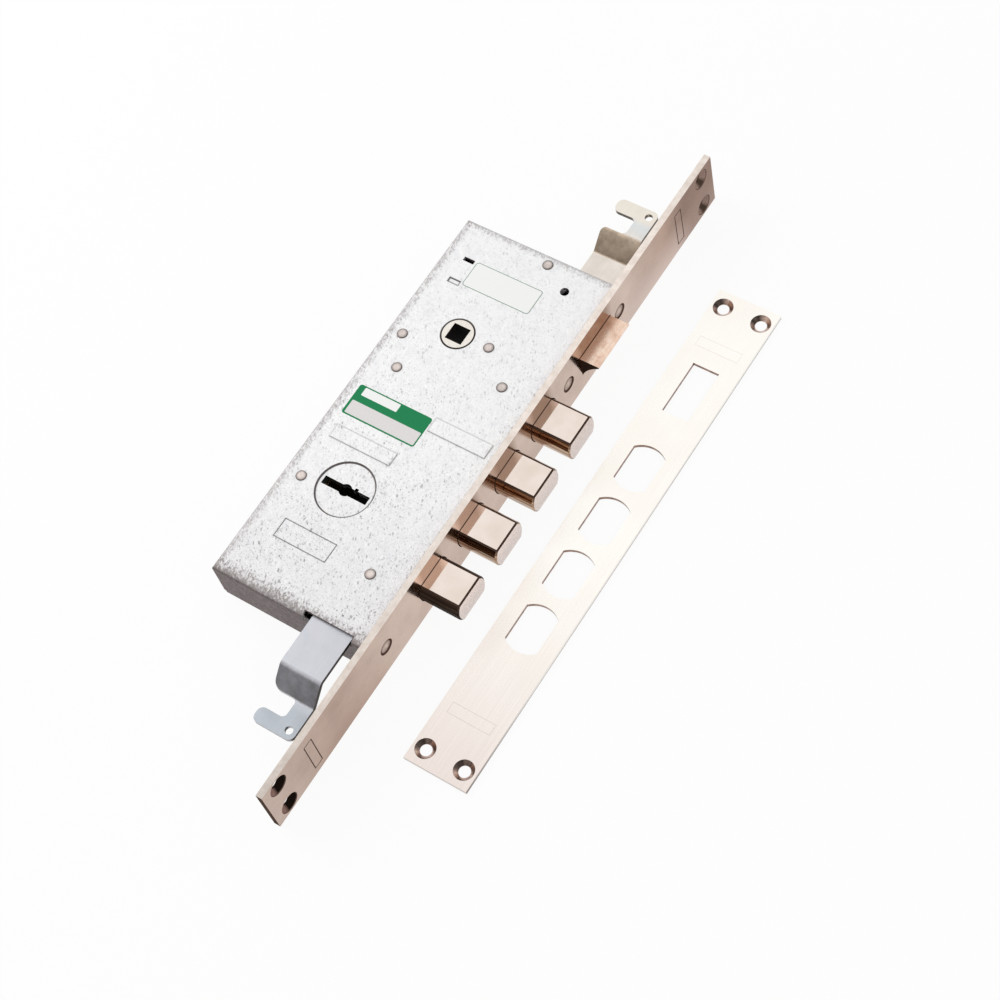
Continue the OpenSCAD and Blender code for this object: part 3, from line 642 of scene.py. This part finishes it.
def brushed_front(tree, place, length, fine):
    """Rose nickel; length runs from 0 to 1, fine holds the brushed lines."""
    _, y, z = split(tree, place)
    front = ramp(tree, length, [
        (0.0, (0.62, 0.475, 0.405)), (0.14, (0.50, 0.35, 0.28)), (0.25, (0.68, 0.52, 0.44)),
        (0.78, (0.68, 0.525, 0.445)), (0.88, (0.47, 0.306, 0.228)), (0.93, (0.267, 0.14, 0.092))])
    cloudy = two_tone(tree, noise(tree, place, 0.05, 4.0, 0.6), (0.80, 0.78, 0.77), WHITE)
    front = tinted(tree, tinted(tree, front, cloudy), fine)
    upper = times(tree, fit(tree, y, 80, 110, 0, 1), fit(tree, y, 136, 150, 1, 0.25))
    upper = times(tree, upper, fit(tree, z, 4, -14, 0, 0.6))
    front = blend_colours(tree, upper, front, (0.74, 0.59, 0.53))
    lower = times(tree, fit(tree, y, -84, -100, 0, 1), fit(tree, y, -146, -134, 0, 1))
    lower = times(tree, lower, fit(tree, z, 2, -14, 0, 0.45))
    front = blend_colours(tree, lower, front, (0.34, 0.20, 0.14))
    # Painted reflection of each bolt in the front, in dark brown.
    for bolt in BOLTS:
        front = blend_colours(tree, painted_bolt_reflection(tree, bolt, y, z), front, (0.25, 0.135, 0.08))
    return front


print("front of", 2 * HALF_LONG, "mm with", len(BOLTS), "bolts")

# %% [markdown]
# The sheared long edges of the forend are paler than its front and catch more light
# towards the far end. Its holes aren't plated. At the low end they look into the dark, at
# the far end light falls in, so the colour of a hole depends on where it is and on which
# way its wall faces.

# %% Edges and holes of the forend
LIT_BORE = (0.09, 0.062, 0.045)
SCREW_RING_SHADE = (0.11, 0.062, 0.045)
SCREW_AXES = (-88.4, 49.8, 90.75)


def sheared_edge(tree, place, length):
    pale = two_tone(tree, noise(tree, place, 0.3, 4.0, 0.6),
                    (0.763, 0.665, 0.594), (0.927, 0.839, 0.768))
    greys = ((0.0, 0.69), (0.145, 0.835), (0.32, 0.89), (0.5, 0.945),
             (0.62, 0.995), (0.84, 1.0), (0.93, 0.93))
    shine = ramp(tree, length, [(at, (grey, grey, grey)) for at, grey in greys])
    return tinted(tree, pale, shine)


def inner_part(tree, x, y, z):
    """1 on the forend, but 0 on its back and along its outline."""
    inside = fit(tree, x, -THICK + 0.02, -THICK + 0.07, 0, 1)
    for value, edge in ((y, HALF_LONG - 0.6), (z, HALF_WIDE - 0.4)):
        inside = times(tree, inside, fit(tree, unsigned(tree, value), edge, edge + 0.1, 1, 0))
    return inside


def forend_holes(tree, colour, inside, y):
    """Holes without plating; gives the colour and the mask of their walls."""
    lit = fit(tree, y, 120, 140, 0, 1)
    sunk = times(tree, inside, fit(tree, facing(tree, X), 0.8, 0.95, 1, 0))
    low_wall = fit(tree, facing(tree, Y), 0.2, 0.5, 0, 0.9)
    hole = blend_colours(tree, low_wall, (0.014, 0.009, 0.007), (0.40, 0.245, 0.207))
    deep = unsigned(tree, sums(tree, "ADD", facing(tree, Y), 0.1))
    lit_hole = blend_colours(tree, fit(tree, deep, 0.2, 0.45, 1, 0), (0.40, 0.28, 0.235), LIT_BORE)
    colour = blend_colours(tree, sunk, colour, blend_colours(tree, lit, hole, lit_hole))
    bore = times(tree, inside, fit(tree, facing(tree, X), 0.1, 0.4, 1, 0))
    bore_tone = blend_colours(tree, lit, (0.010, 0.007, 0.006), LIT_BORE)
    return blend_colours(tree, bore, colour, bore_tone), sunk


def from_screw(tree, y, z):
    """Distance to the nearest screw axis."""
    offs = [unsigned(tree, sums(tree, "SUBTRACT", y, axis)) for axis in SCREW_AXES]
    off = least(tree, *offs)
    return sums(tree, "POWER", sums(tree, "ADD", times(tree, off, off), times(tree, z, z)), 0.5)


print(len(SCREW_AXES), "screws along the forend")

# %% [markdown]
# The finish of the forend puts these together. Long streaks come from a noise squeezed
# hard along Y, and they steer the colour, the roughness and the bump at once. Holes, the
# engraved frames, the ring of painted shade round the screws and the sheared ends have no
# metal share.

# %% Brushed rose nickel of the forend


def brushed_nickel():
    finish, tree, skin = new_finish("forend_nickel", 1.0, 0.2, gloss=0.0)
    place = place_mm(tree)
    x, y, z = split(tree, place)
    length = fit(tree, y, -HALF_LONG, HALF_LONG, 0, 1)
    streak = noise(tree, place_mm(tree, (3.0, 0.03, 3.0)), 1.0, 4.0, 0.6)
    fine = two_tone(tree, streak, (0.86, 0.85, 0.84), WHITE)
    front = brushed_front(tree, place, length, fine)
    edge = fit(tree, facing(tree, X), 0.3, 0.8, 1, 0)
    colour = blend_colours(tree, edge, front, sheared_edge(tree, place, length))
    back = fit(tree, facing(tree, X), -0.8, -0.5, 1, 0)
    colour = blend_colours(tree, back, colour, tinted(tree, fine, (0.66, 0.54, 0.47)))
    inside = inner_part(tree, x, y, z)
    colour, sunk = forend_holes(tree, colour, inside, y)
    scribed = times(tree, inside, band(tree, x, -0.32, -0.28, -0.08, -0.04))
    colour = blend_colours(tree, scribed, colour, (0.16, 0.105, 0.085))
    # Painted shade: a brown ring round each screw head on the front.
    far = from_screw(tree, sums(tree, "ADD", y, 0.05), sums(tree, "SUBTRACT", z, 0.1))
    in_front = fit(tree, x, -THICK - 0.1, -THICK + 0.1, 0, 1)
    screw_ring_shade = times(tree, fit(tree, far, 3.75, 3.95, 1, 0), in_front)
    colour = blend_colours(tree, screw_ring_shade, colour, SCREW_RING_SHADE)
    sheared = fit(tree, unsigned(tree, facing(tree, Y)), 0.8, 0.95, 0, 1)
    last = fit(tree, unsigned(tree, y), HALF_LONG - 0.6, HALF_LONG - 0.4, 0, 1)
    at_end = times(tree, sheared, last)
    colour = blend_colours(tree, at_end, colour, (0.10, 0.065, 0.05))
    bare = most(tree, sunk, at_end, screw_ring_shade, scribed)
    put_on(tree, skin, colour, fit(tree, streak, 0.3, 0.7, 0.12, 0.26), without(tree, bare))
    bump(tree, skin, streak, 0.08, 0.04)
    return finish


forend_nickel = brushed_nickel()
print(forend_nickel.name)

# %% [markdown]
# Three screws hold the forend to the case. Their heads sit a little below the front, are
# ground smooth, darken towards the rim, and have a brown ring of painted shade round them,
# for the gap at the countersink. The three heads share one finish: the distance to the
# nearest screw axis is the smallest of three, so one mask rings all.

# %% Screw heads in the forend
screw_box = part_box("forend_screws")


def screw_heads():
    finish, tree, skin = new_finish("screw_nickel", 1.0, 0.25, gloss=0.0)
    place = place_mm(tree)
    _, y, z = split(tree, place)
    far = from_screw(tree, y, z)
    ground = noise(tree, place, 1.2, 4.0, 0.6)
    tone = two_tone(tree, ground, (0.44, 0.32, 0.26), (0.63, 0.49, 0.42))
    tone = blend_colours(tree, fit(tree, far, 0.7, 2.8, 0, 0.75), tone, (0.17, 0.11, 0.085))
    # Painted shade: a brown ring at the rim of each head.
    screw_ring_shade = fit(tree, far, 2.75, 3.1, 0, 1)
    tone = blend_colours(tree, screw_ring_shade, tone, SCREW_RING_SHADE)
    put_on(tree, skin, tone, fit(tree, ground, 0.3, 0.7, 0.34, 0.2), without(tree, screw_ring_shade))
    bump(tree, skin, ground, 0.12, 0.05)
    return finish


screw_nickel = screw_heads()
tell_box("screws in mm:", screw_box)

# %% [markdown]
# The deadbolts are turned from bar, milled to two flats, and polished. The flats are close
# to a mirror. Their round sides carry a painted reflection: dark bronze in fine lines drawn
# along the bar, with one brighter line, and nearly black on the lowest bolt. The narrow
# bevels beside the flats and the corners of the ends are painted nearly black as dark
# reflections, and a line of painted shade marks the gap where each bolt leaves the forend.
# The ends are faced, so they are a little duller.

# %% Polished nickel of the deadbolts
FOREND_GAP_SHADE = (-0.4, -0.2, 0.15, 0.3)


def bolt_polish():
    finish, tree, skin = new_finish("bolt_nickel", 1.0, 0.07, gloss=0.0)
    place = place_mm(tree)
    x, y, _ = split(tree, place)
    upright = unsigned(tree, facing(tree, Z))
    outward = facing(tree, X)
    flat_side = fit(tree, upright, 0.78, 0.92, 0, 1)
    end = fit(tree, outward, 0.75, 0.95, 0, 1)
    low_side_reflection = fit(tree, y, -40, -46, 0, 0.9)
    patch = noise(tree, place, 0.12, 3.0, 0.5)
    flat_tone = two_tone(tree, patch, (0.79, 0.675, 0.595), (0.87, 0.765, 0.695))
    drawn = noise(tree, place_mm(tree, (0.02, 1.4, 1.4)), 1.0, 3.0, 0.6)
    # Painted reflection on the round sides: dark bronze lines with one brighter line.
    side_reflection = ramp(tree, drawn, [
        (0.32, (0.09, 0.05, 0.032)), (0.46, (0.30, 0.18, 0.115)),
        (0.56, (0.62, 0.44, 0.31)), (0.64, (0.16, 0.095, 0.065))])
    # Painted reflection: nearly black on the sides of the lowest bolt.
    side_reflection = blend_colours(tree, low_side_reflection, side_reflection, (0.008, 0.005, 0.004))
    turned = noise(tree, place, 0.9, 4.0, 0.6)
    end_tone = two_tone(tree, turned, (0.62, 0.525, 0.49), (0.76, 0.665, 0.63))
    colour = blend_colours(tree, flat_side, side_reflection, flat_tone)
    colour = blend_colours(tree, end, colour, end_tone)
    # Painted reflection on bevels and end corners, painted shade at the forend gap; near black.
    bevel = band(tree, upright, 0.8, 0.86, 0.95, 0.985)
    corner = band(tree, outward, 0.35, 0.5, 0.8, 0.9)
    corner = times(tree, corner, fit(tree, upright, 0.25, 0.45, 0, 1))
    dark = most(tree, bevel, corner, band(tree, x, *FOREND_GAP_SHADE))
    colour = blend_colours(tree, dark, colour, (0.07, 0.042, 0.03))
    round_side = times(tree, without(tree, flat_side), without(tree, end))
    bare = most(tree, dark, times(tree, round_side, low_side_reflection))
    put_on(tree, skin, colour, fit(tree, end, 0, 1, 0.06, 0.28), without(tree, bare))
    bump(tree, skin, turned, 0.03, 0.02)
    return finish


bolt_nickel = bolt_polish()
print(bolt_nickel.name)

# %% [markdown]
# The latch is cast, ground hollow on one side and polished; its plating is thinner, so it
# shows copper. Its two ends are painted nearly black as shade, and a line of painted shade
# marks the gap where it leaves the forend.

# %% Copper tone of the latch


def latch_polish():
    finish, tree, skin = new_finish("latch_copper", 1.0, 0.14, gloss=0.0)
    place = place_mm(tree)
    patch = noise(tree, place, 0.22, 4.0, 0.6)
    tone = ramp(tree, patch, [
        (0.28, (0.74, 0.49, 0.365)), (0.52, (0.93, 0.695, 0.555)), (0.75, (1.0, 0.855, 0.735))])
    lines = noise(tree, place_mm(tree, (2.0, 0.15, 2.0)), 1.0, 3.0, 0.5)
    tone = tinted(tree, tone, two_tone(tree, lines, (0.86, 0.84, 0.83), WHITE))
    # Painted shade: both ends nearly black, and a dark line at the gap by the forend.
    end = fit(tree, unsigned(tree, facing(tree, Y)), 0.7, 0.95, 0, 1)
    tone = blend_colours(tree, end, tone, (0.04, 0.024, 0.017))
    latch_gap_shade = band(tree, split(tree, place)[X], *FOREND_GAP_SHADE)
    tone = blend_colours(tree, latch_gap_shade, tone, (0.10, 0.035, 0.02))
    bare = most(tree, latch_gap_shade, end)
    put_on(tree, skin, tone, fit(tree, patch, 0.3, 0.7, 0.32, 0.22), without(tree, bare))
    bump(tree, skin, lines, 0.05, 0.03)
    return finish


latch_copper = latch_polish()
print(latch_copper.name)

# %% [markdown]
# The strike plate is the same nickel as the forend but new and pale, with coppery
# countersinks, because a countersink is cut and polished after the sheet. A countersink is
# bright on the side that the light falls on and almost black on the other, so its mask
# follows the slant of its wall.

# %% Face and holes of the strike plate
STRIKE_END = -121.0


def strike_face(tree, place, low_end, streak):
    patch = noise(tree, place, 0.03, 3.0, 0.5)
    face = two_tone(tree, patch, (0.975, 0.935, 0.87), (1.0, 0.975, 0.93))
    face = blend_colours(tree, low_end, face, (0.80, 0.705, 0.66))
    return tinted(tree, face, two_tone(tree, streak, (0.988, 0.987, 0.985), WHITE))


def strike_holes(tree, place):
    """Walls of the bolt holes, and the cones of the countersinks."""
    wall = two_tone(tree, noise(tree, place, 0.5, 4.0, 0.6),
                    (0.11, 0.06, 0.042), (0.40, 0.25, 0.19))
    lit = two_tone(tree, noise(tree, place, 0.6, 4.0, 0.6),
                   (0.34, 0.225, 0.18), (0.70, 0.52, 0.44))
    slant = sums(tree, "SUBTRACT", times(tree, facing(tree, X), 0.93),
                 times(tree, facing(tree, Y), 0.37))
    shade = fit(tree, slant, 0.22, 0.6, 0, 0.93)
    cone = blend_colours(tree, shade, lit, (0.012, 0.009, 0.008))
    return blend_colours(tree, fit(tree, facing(tree, Z), 0.35, 0.55, 0, 1), wall, cone)


print("strike plate's low end at", STRIKE_END, "mm")

# %% [markdown]
# The outer edges of the strike plate are pale, with a painted shadow where they touch the
# bench, and darker brown towards the low end. A thin line along the top of each edge is
# where the shears broke through.

# %% Edges and finish of the strike plate
strike_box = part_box("strike_plate")


def past(tree, value, low, high):
    """1 on the outer edge of a plate that goes from low to high."""
    off = unsigned(tree, sums(tree, "SUBTRACT", value, (low + high) / 2))
    half = (high - low) / 2
    return fit(tree, off, half - 0.2, half - 0.1, 0, 1)


def strike_edges(tree, place, wall, low_end):
    x, y, z = split(tree, place)
    low, high = in_mm(strike_box)
    middle = (low.x + high.x) / 2
    bench = bench_top / MM
    rim, tip = past(tree, x, low.x, high.x), past(tree, y, low.y, high.y)
    # Painted shadow where the edges meet the bench.
    bench_shadow = fit(tree, z, bench + 0.3, bench + 0.5, 1, 0)
    pale = blend_colours(tree, bench_shadow, (0.90, 0.86, 0.81), (0.10, 0.07, 0.055))
    # Darker brown towards the low end, on the outer rim.
    darker_low_rim = times(tree, fit(tree, x, middle, middle + 1, 0, 1),
                    fit(tree, y, -70, STRIKE_END, 0.1, 0.9))
    pale = blend_colours(tree, times(tree, rim, darker_low_rim), pale, (0.10, 0.06, 0.045))
    low_tip = times(tree, tip, fit(tree, y, -110, -115, 0, 1))
    pale = blend_colours(tree, low_tip, pale, (0.50, 0.45, 0.41))
    wall = blend_colours(tree, most(tree, rim, tip), wall, pale)
    line = times(tree, fit(tree, z, high.z - 0.3, high.z - 0.25, 0, 1),
                 fit(tree, facing(tree, Z), 0.05, 0.3, 1, 0))
    faint = blend_colours(tree, low_end, (0.86, 0.80, 0.74), (0.42, 0.32, 0.27))
    return blend_colours(tree, line, wall, faint)


def strike_polish():
    finish, tree, skin = new_finish("strike_nickel", 1.0, 0.22)
    place = place_mm(tree)
    low_end = fit(tree, split(tree, place)[Y], -20, STRIKE_END, 0, 0.9)
    streak = noise(tree, place_mm(tree, (2.5, 0.03, 2.5)), 1.0, 4.0, 0.6)
    face = strike_face(tree, place, low_end, streak)
    wall = strike_edges(tree, place, strike_holes(tree, place), low_end)
    cut = fit(tree, unsigned(tree, facing(tree, Z)), 0.8, 0.95, 1, 0)
    colour = blend_colours(tree, cut, face, wall)
    put_on(tree, skin, colour, fit(tree, streak, 0.3, 0.7, 0.16, 0.3))
    bump(tree, skin, streak, 0.05, 0.03)
    return finish


strike_nickel = strike_polish()
tell_box("strike plate in mm:", strike_box)

# %% [markdown]
# The two rod hooks are stamped from strip and bent. The lower one is blue-white zinc, the
# upper one has a warmer coat. The slope of the bend, found by the way its surface faces,
# takes a darker tone as painted shade, mottled where the bend stretched the coat, and the
# cut edge is bare.

# %% Zinc of the hooks
HOOK_NECK, HOOK_TIP = (124, 130), (132, 135)
UPPER_NECK = (128, 130)


def strip_zinc(name, pale, dark, slope_shade, neck, tip, cut):
    finish, tree, skin = new_finish(name, 0.85, 0.34)
    place = place_mm(tree)
    y = split(tree, place)[Y]
    out = unsigned(tree, y)
    cloud = noise(tree, place, 0.11, 3.0, 0.5)
    tone = two_tone(tree, cloud, dark, pale)
    ends = blend_colours(tree, fit(tree, out, *HOOK_TIP, 0, 1), neck, tip)
    tone = blend_colours(tree, fit(tree, out, *HOOK_NECK, 0, 1), tone, ends)
    # Painted shade: the slope of the bend takes a darker tone.
    bent = fit(tree, unsigned(tree, facing(tree, Y)), 0.12, 0.4, 0, 1)
    mottle = noise(tree, place, 0.28, 5.0, 0.65)
    stretched = two_tone(tree, mottle, (0.74, 0.72, 0.70), WHITE, 0.36, 0.6)
    tone = blend_colours(tree, bent, tone, tinted(tree, stretched, slope_shade))
    shaded = times(tree, fit(tree, facing(tree, Y), -0.95, -0.8, 1, 0),
                   fit(tree, y, *UPPER_NECK, 0, 1))
    tone = blend_colours(tree, shaded, tone, cut)
    rolled = noise(tree, place_mm(tree, (2.2, 0.06, 2.2)), 1.0, 3.0, 0.6)
    tone = tinted(tree, tone, two_tone(tree, rolled, (0.94, 0.94, 0.94), WHITE))
    edge = fit(tree, unsigned(tree, facing(tree, X)), 0.6, 0.9, 0, 1)
    tone = blend_colours(tree, edge, tone, cut)
    put_on(tree, skin, tone, fit(tree, cloud, 0.3, 0.7, 0.4, 0.28))
    bump(tree, skin, rolled, 0.06, 0.03)
    return finish


lower_zinc = strip_zinc(
    "lower_hook_zinc", pale=(0.565, 0.565, 0.60), dark=(0.46, 0.475, 0.51),
    slope_shade=(0.47, 0.47, 0.507), neck=(0.40, 0.43, 0.465), tip=(0.40, 0.43, 0.465),
    cut=(0.03, 0.03, 0.03))
upper_zinc = strip_zinc(
    "upper_hook_zinc", pale=(0.86, 0.80, 0.735), dark=(0.72, 0.66, 0.595),
    slope_shade=(0.49, 0.393, 0.302), neck=(0.725, 0.742, 0.745), tip=(0.84, 0.785, 0.70),
    cut=(0.10, 0.085, 0.07))
print(lower_zinc.name, upper_zinc.name)

# %% [markdown]
# Rivet heads are peened over: warm grey on top, darker towards the rim, with painted shade
# round the side. As with the screws, one mask serves all: the distance to the nearest
# axis.

# %% Rivets
RIVET_AXES = ((-34.8, 90.9), (-71.9, 32.9), (-64.6, 17.8), (-70.7, -44.6), (-34.8, 44.0),
              (-19.2, 30.2), (-19.0, -68.3), (-60.5, -63.7), (-60.5, -18.7), (-40.5, -63.7),
              (-40.5, -18.7))


def rivet_steel():
    finish, tree, skin = new_finish("rivet_steel", 0.6, 0.38)
    place = place_mm(tree)
    hammered = noise(tree, place, 0.8, 4.0, 0.6)
    tone = two_tone(tree, hammered, (0.53, 0.46, 0.43), (0.73, 0.65, 0.615))
    far = least(tree, *[from_axis(tree, place, axis) for axis in RIVET_AXES])
    tone = blend_colours(tree, fit(tree, far, 1.15, 1.95, 0, 0.75), tone, (0.24, 0.20, 0.185))
    # Painted shade round the sides of the heads.
    side = fit(tree, unsigned(tree, facing(tree, Z)), 0.9, 0.99, 1, 0)
    tone = blend_colours(tree, side, tone, (0.11, 0.09, 0.082))
    put_on(tree, skin, tone, fit(tree, hammered, 0.3, 0.7, 0.5, 0.34))
    bump(tree, skin, hammered, 0.25, 0.1)
    return finish


rivet_finish = rivet_steel()
print(rivet_finish.name, "round", len(RIVET_AXES), "axes")

# %% [markdown]
# The follower's round end is turned and pale, with a dark rim where it bears in the case:
# painted shade of the gap, with old oil.
# The square through it is broached and never sees light, so it goes black just below the
# face.

# %% Follower
HUB_SHAFT = (FACE_Z - 0.1, FACE_Z - 0.03)


def follower_steel():
    finish, tree, skin = new_finish("follower_steel", 0.5, 0.35)
    place = place_mm(tree)
    turned = noise(tree, place, 1.1, 4.0, 0.6)
    tone = two_tone(tree, turned, (0.74, 0.69, 0.63), (0.90, 0.86, 0.80))
    # Painted shade of the gap round the follower, with old oil.
    rim = times(tree, ring_mask(tree, place, HUB, 7.0, 8.5), 0.85)
    tone = blend_colours(tree, rim, tone, (0.10, 0.065, 0.05))
    height = unsigned(tree, split(tree, place)[Z])
    shaft = fit(tree, height, *HUB_SHAFT, 1, 0)
    tone = blend_colours(tree, shaft, tone, (0.02, 0.015, 0.013))
    put_on(tree, skin, tone, fit(tree, turned, 0.3, 0.7, 0.42, 0.3))
    bump(tree, skin, turned, 0.15, 0.08)
    return finish


follower_finish = follower_steel()
print(follower_finish.name)

# %% [markdown]
# Inside the case lie the carriage, pins, springs and levers. They show only through the
# openings and when the bolts move, but they are still steel and brass: oily, with rolled
# streaks, and the guard plate at the back is hardened, so it is almost black.

# %% Inner steel, springs, brass and the hardened guard


def oily_metal(name, pale, dark, rough):
    finish, tree, skin = new_finish(name, 1.0, rough)
    place = place_mm(tree)
    film = noise(tree, place, 0.16, 4.0, 0.6)
    rolled = noise(tree, place_mm(tree, (0.08, 1.6, 1.6)), 1.0, 3.0, 0.6)
    streaks = two_tone(tree, rolled, (0.86, 0.86, 0.86), WHITE)
    tone = tinted(tree, two_tone(tree, film, dark, pale), streaks)
    put_on(tree, skin, tone, fit(tree, film, 0.3, 0.7, rough + 0.12, rough - 0.06))
    bump(tree, skin, rolled, 0.1, 0.04)
    return finish


inner_steel = oily_metal("inner_steel", (0.52, 0.52, 0.53), (0.36, 0.36, 0.37), 0.34)
spring_steel = oily_metal("spring_steel", (0.40, 0.41, 0.44), (0.24, 0.25, 0.28), 0.28)
lever_brass = oily_metal("lever_brass", (0.74, 0.58, 0.30), (0.58, 0.43, 0.20), 0.3)
guard_steel = oily_metal("guard_steel", (0.22, 0.22, 0.235), (0.13, 0.13, 0.14), 0.42)
print([metal.name for metal in (inner_steel, spring_steel, lever_brass, guard_steel)])

# %% [markdown]
# Each CAD node now takes its finish. The shapes stay untouched: only the material slot of
# the node's object changes. What isn't listed is inner steel.

# %% Give every CAD node its finish
finish_of = {
    "case_shell": case_zinc, "back_cover": case_zinc,
    "front_key_disc": key_zinc, "rear_key_disc": key_zinc,
    "case_pillars": rivet_finish, "face_studs": rivet_finish, "guard_rivets": rivet_finish,
    "forend_plate": forend_nickel, "forend_screws": screw_nickel,
    "latch_bolt": latch_copper, "strike_plate": strike_nickel,
    "lower_hook": lower_zinc, "upper_hook": upper_zinc,
    "follower_hub": follower_finish, "drill_guard": guard_steel,
    "lever_springs": spring_steel, "latch_spring": spring_steel, "follower_spring": spring_steel,
}
for name in lock:
    if name.startswith("deadbolt"):
        finish_of[name] = bolt_nickel
    elif name.startswith("lever_") and name[-1].isdigit():
        finish_of[name] = lever_brass
for name, node in lock.items():
    finish = finish_of.get(name, inner_steel)
    slots = node.data.materials
    if not slots:
        slots.append(finish)
    for index in range(len(slots)):
        slots[index] = finish
print("finishes on", len(lock), "nodes")

# %% [markdown]
# Two stickers lie on the keyhole face, in plain colours. A sticker is a thin slab with
# round corners; its panels are a hair higher than its ground, so that each colour is a real
# patch of the mesh and nothing flickers.

# %% Helpers for stickers


def round_outline(x0, x1, y0, y1, r, steps=8):
    corners = ((x1 - r, y1 - r, 0), (x0 + r, y1 - r, 90),
               (x0 + r, y0 + r, 180), (x1 - r, y0 + r, 270))
    points = []
    for cx, cy, start in corners:
        for k in range(steps + 1):
            a = math.radians(start + 90 * k / steps)
            points.append((cx + r * math.cos(a), cy + r * math.sin(a)))
    return points


def slab(mesh, outline, z0, z1, colour_index):
    """A flat plate with a closed rim, from z0 to z1 in millimetres."""
    lower_ring = [mesh.verts.new((x * MM, y * MM, z0 * MM)) for x, y in outline]
    upper_ring = [mesh.verts.new((x * MM, y * MM, z1 * MM)) for x, y in outline]
    faces = [mesh.faces.new(upper_ring), mesh.faces.new(lower_ring[::-1])]
    for k in range(len(outline)):
        n = (k + 1) % len(outline)
        faces.append(mesh.faces.new((lower_ring[k], lower_ring[n], upper_ring[n], upper_ring[k])))
    for face in faces:
        face.material_index = colour_index


def print_paper(name, pale, dark, rough):
    finish, tree, skin = new_finish(name, 0.0, rough, gloss=0.2)
    fibre = noise(tree, place_mm(tree), 1.3, 4.0, 0.6)
    tone = two_tone(tree, fibre, dark, pale)
    put_on(tree, skin, tone, fit(tree, fibre, 0.3, 0.7, rough + 0.06, rough - 0.04))
    bump(tree, skin, fibre, 0.05, 0.03)
    return finish


def sticker(name, patches, finishes):
    """One object from patches, each an outline, its two heights and its colour."""
    mesh = bmesh.new()
    for outline, (z0, z1), colour_index in patches:
        slab(mesh, outline, z0, z1, colour_index)
    data = bpy.data.meshes.new(name)
    mesh.to_mesh(data)
    mesh.free()
    for finish in finishes:
        data.materials.append(finish)
    piece = bpy.data.objects.new(name, data)
    scene.collection.objects.link(piece)
    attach(piece, "lock_case")
    print(name, len(patches), "patches")
    return piece


print("sticker helpers ready")

# %% [markdown]
# The upper sticker is white with a thin frame, the lower one green with a silver and a
# white panel. Their paper has a faint fibre, which breaks up the colour and the gloss.

# %% Stickers on the face
GROUND = (FACE_Z + 0.01, FACE_Z + 0.05)
PANEL = (FACE_Z + 0.02, FACE_Z + 0.06)
white_print = print_paper("white_print", (0.985, 0.99, 0.975), (0.945, 0.95, 0.935), 0.35)
line_print = print_paper("line_print", (0.33, 0.43, 0.35), (0.24, 0.34, 0.27), 0.4)
green_print = print_paper("green_print", (0.009, 0.25, 0.09), (0.006, 0.205, 0.07), 0.32)
silver_print = print_paper("silver_print", (0.83, 0.805, 0.80), (0.75, 0.725, 0.72), 0.3)

sticker("white_sticker", [
    (round_outline(-63.0, -29.0, 65.5, 78.5, 1.4), GROUND, 0),
    (round_outline(-62.65, -29.35, 65.85, 78.15, 1.1), PANEL, 1),
], [line_print, white_print])
sticker("green_sticker", [
    (round_outline(-73.5, -36.5, -11.4, 3.9, 1.2), GROUND, 0),
    (round_outline(-72.3, -37.1, -10.7, -4.1, 0.5), PANEL, 1),
    (round_outline(-70.5, -52.4, -0.7, 3.3, 0.4), PANEL, 2),
], [green_print, silver_print, white_print])

# %% Size of what is seen
seen_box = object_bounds()
tell_box("visual box in mm:", seen_box)
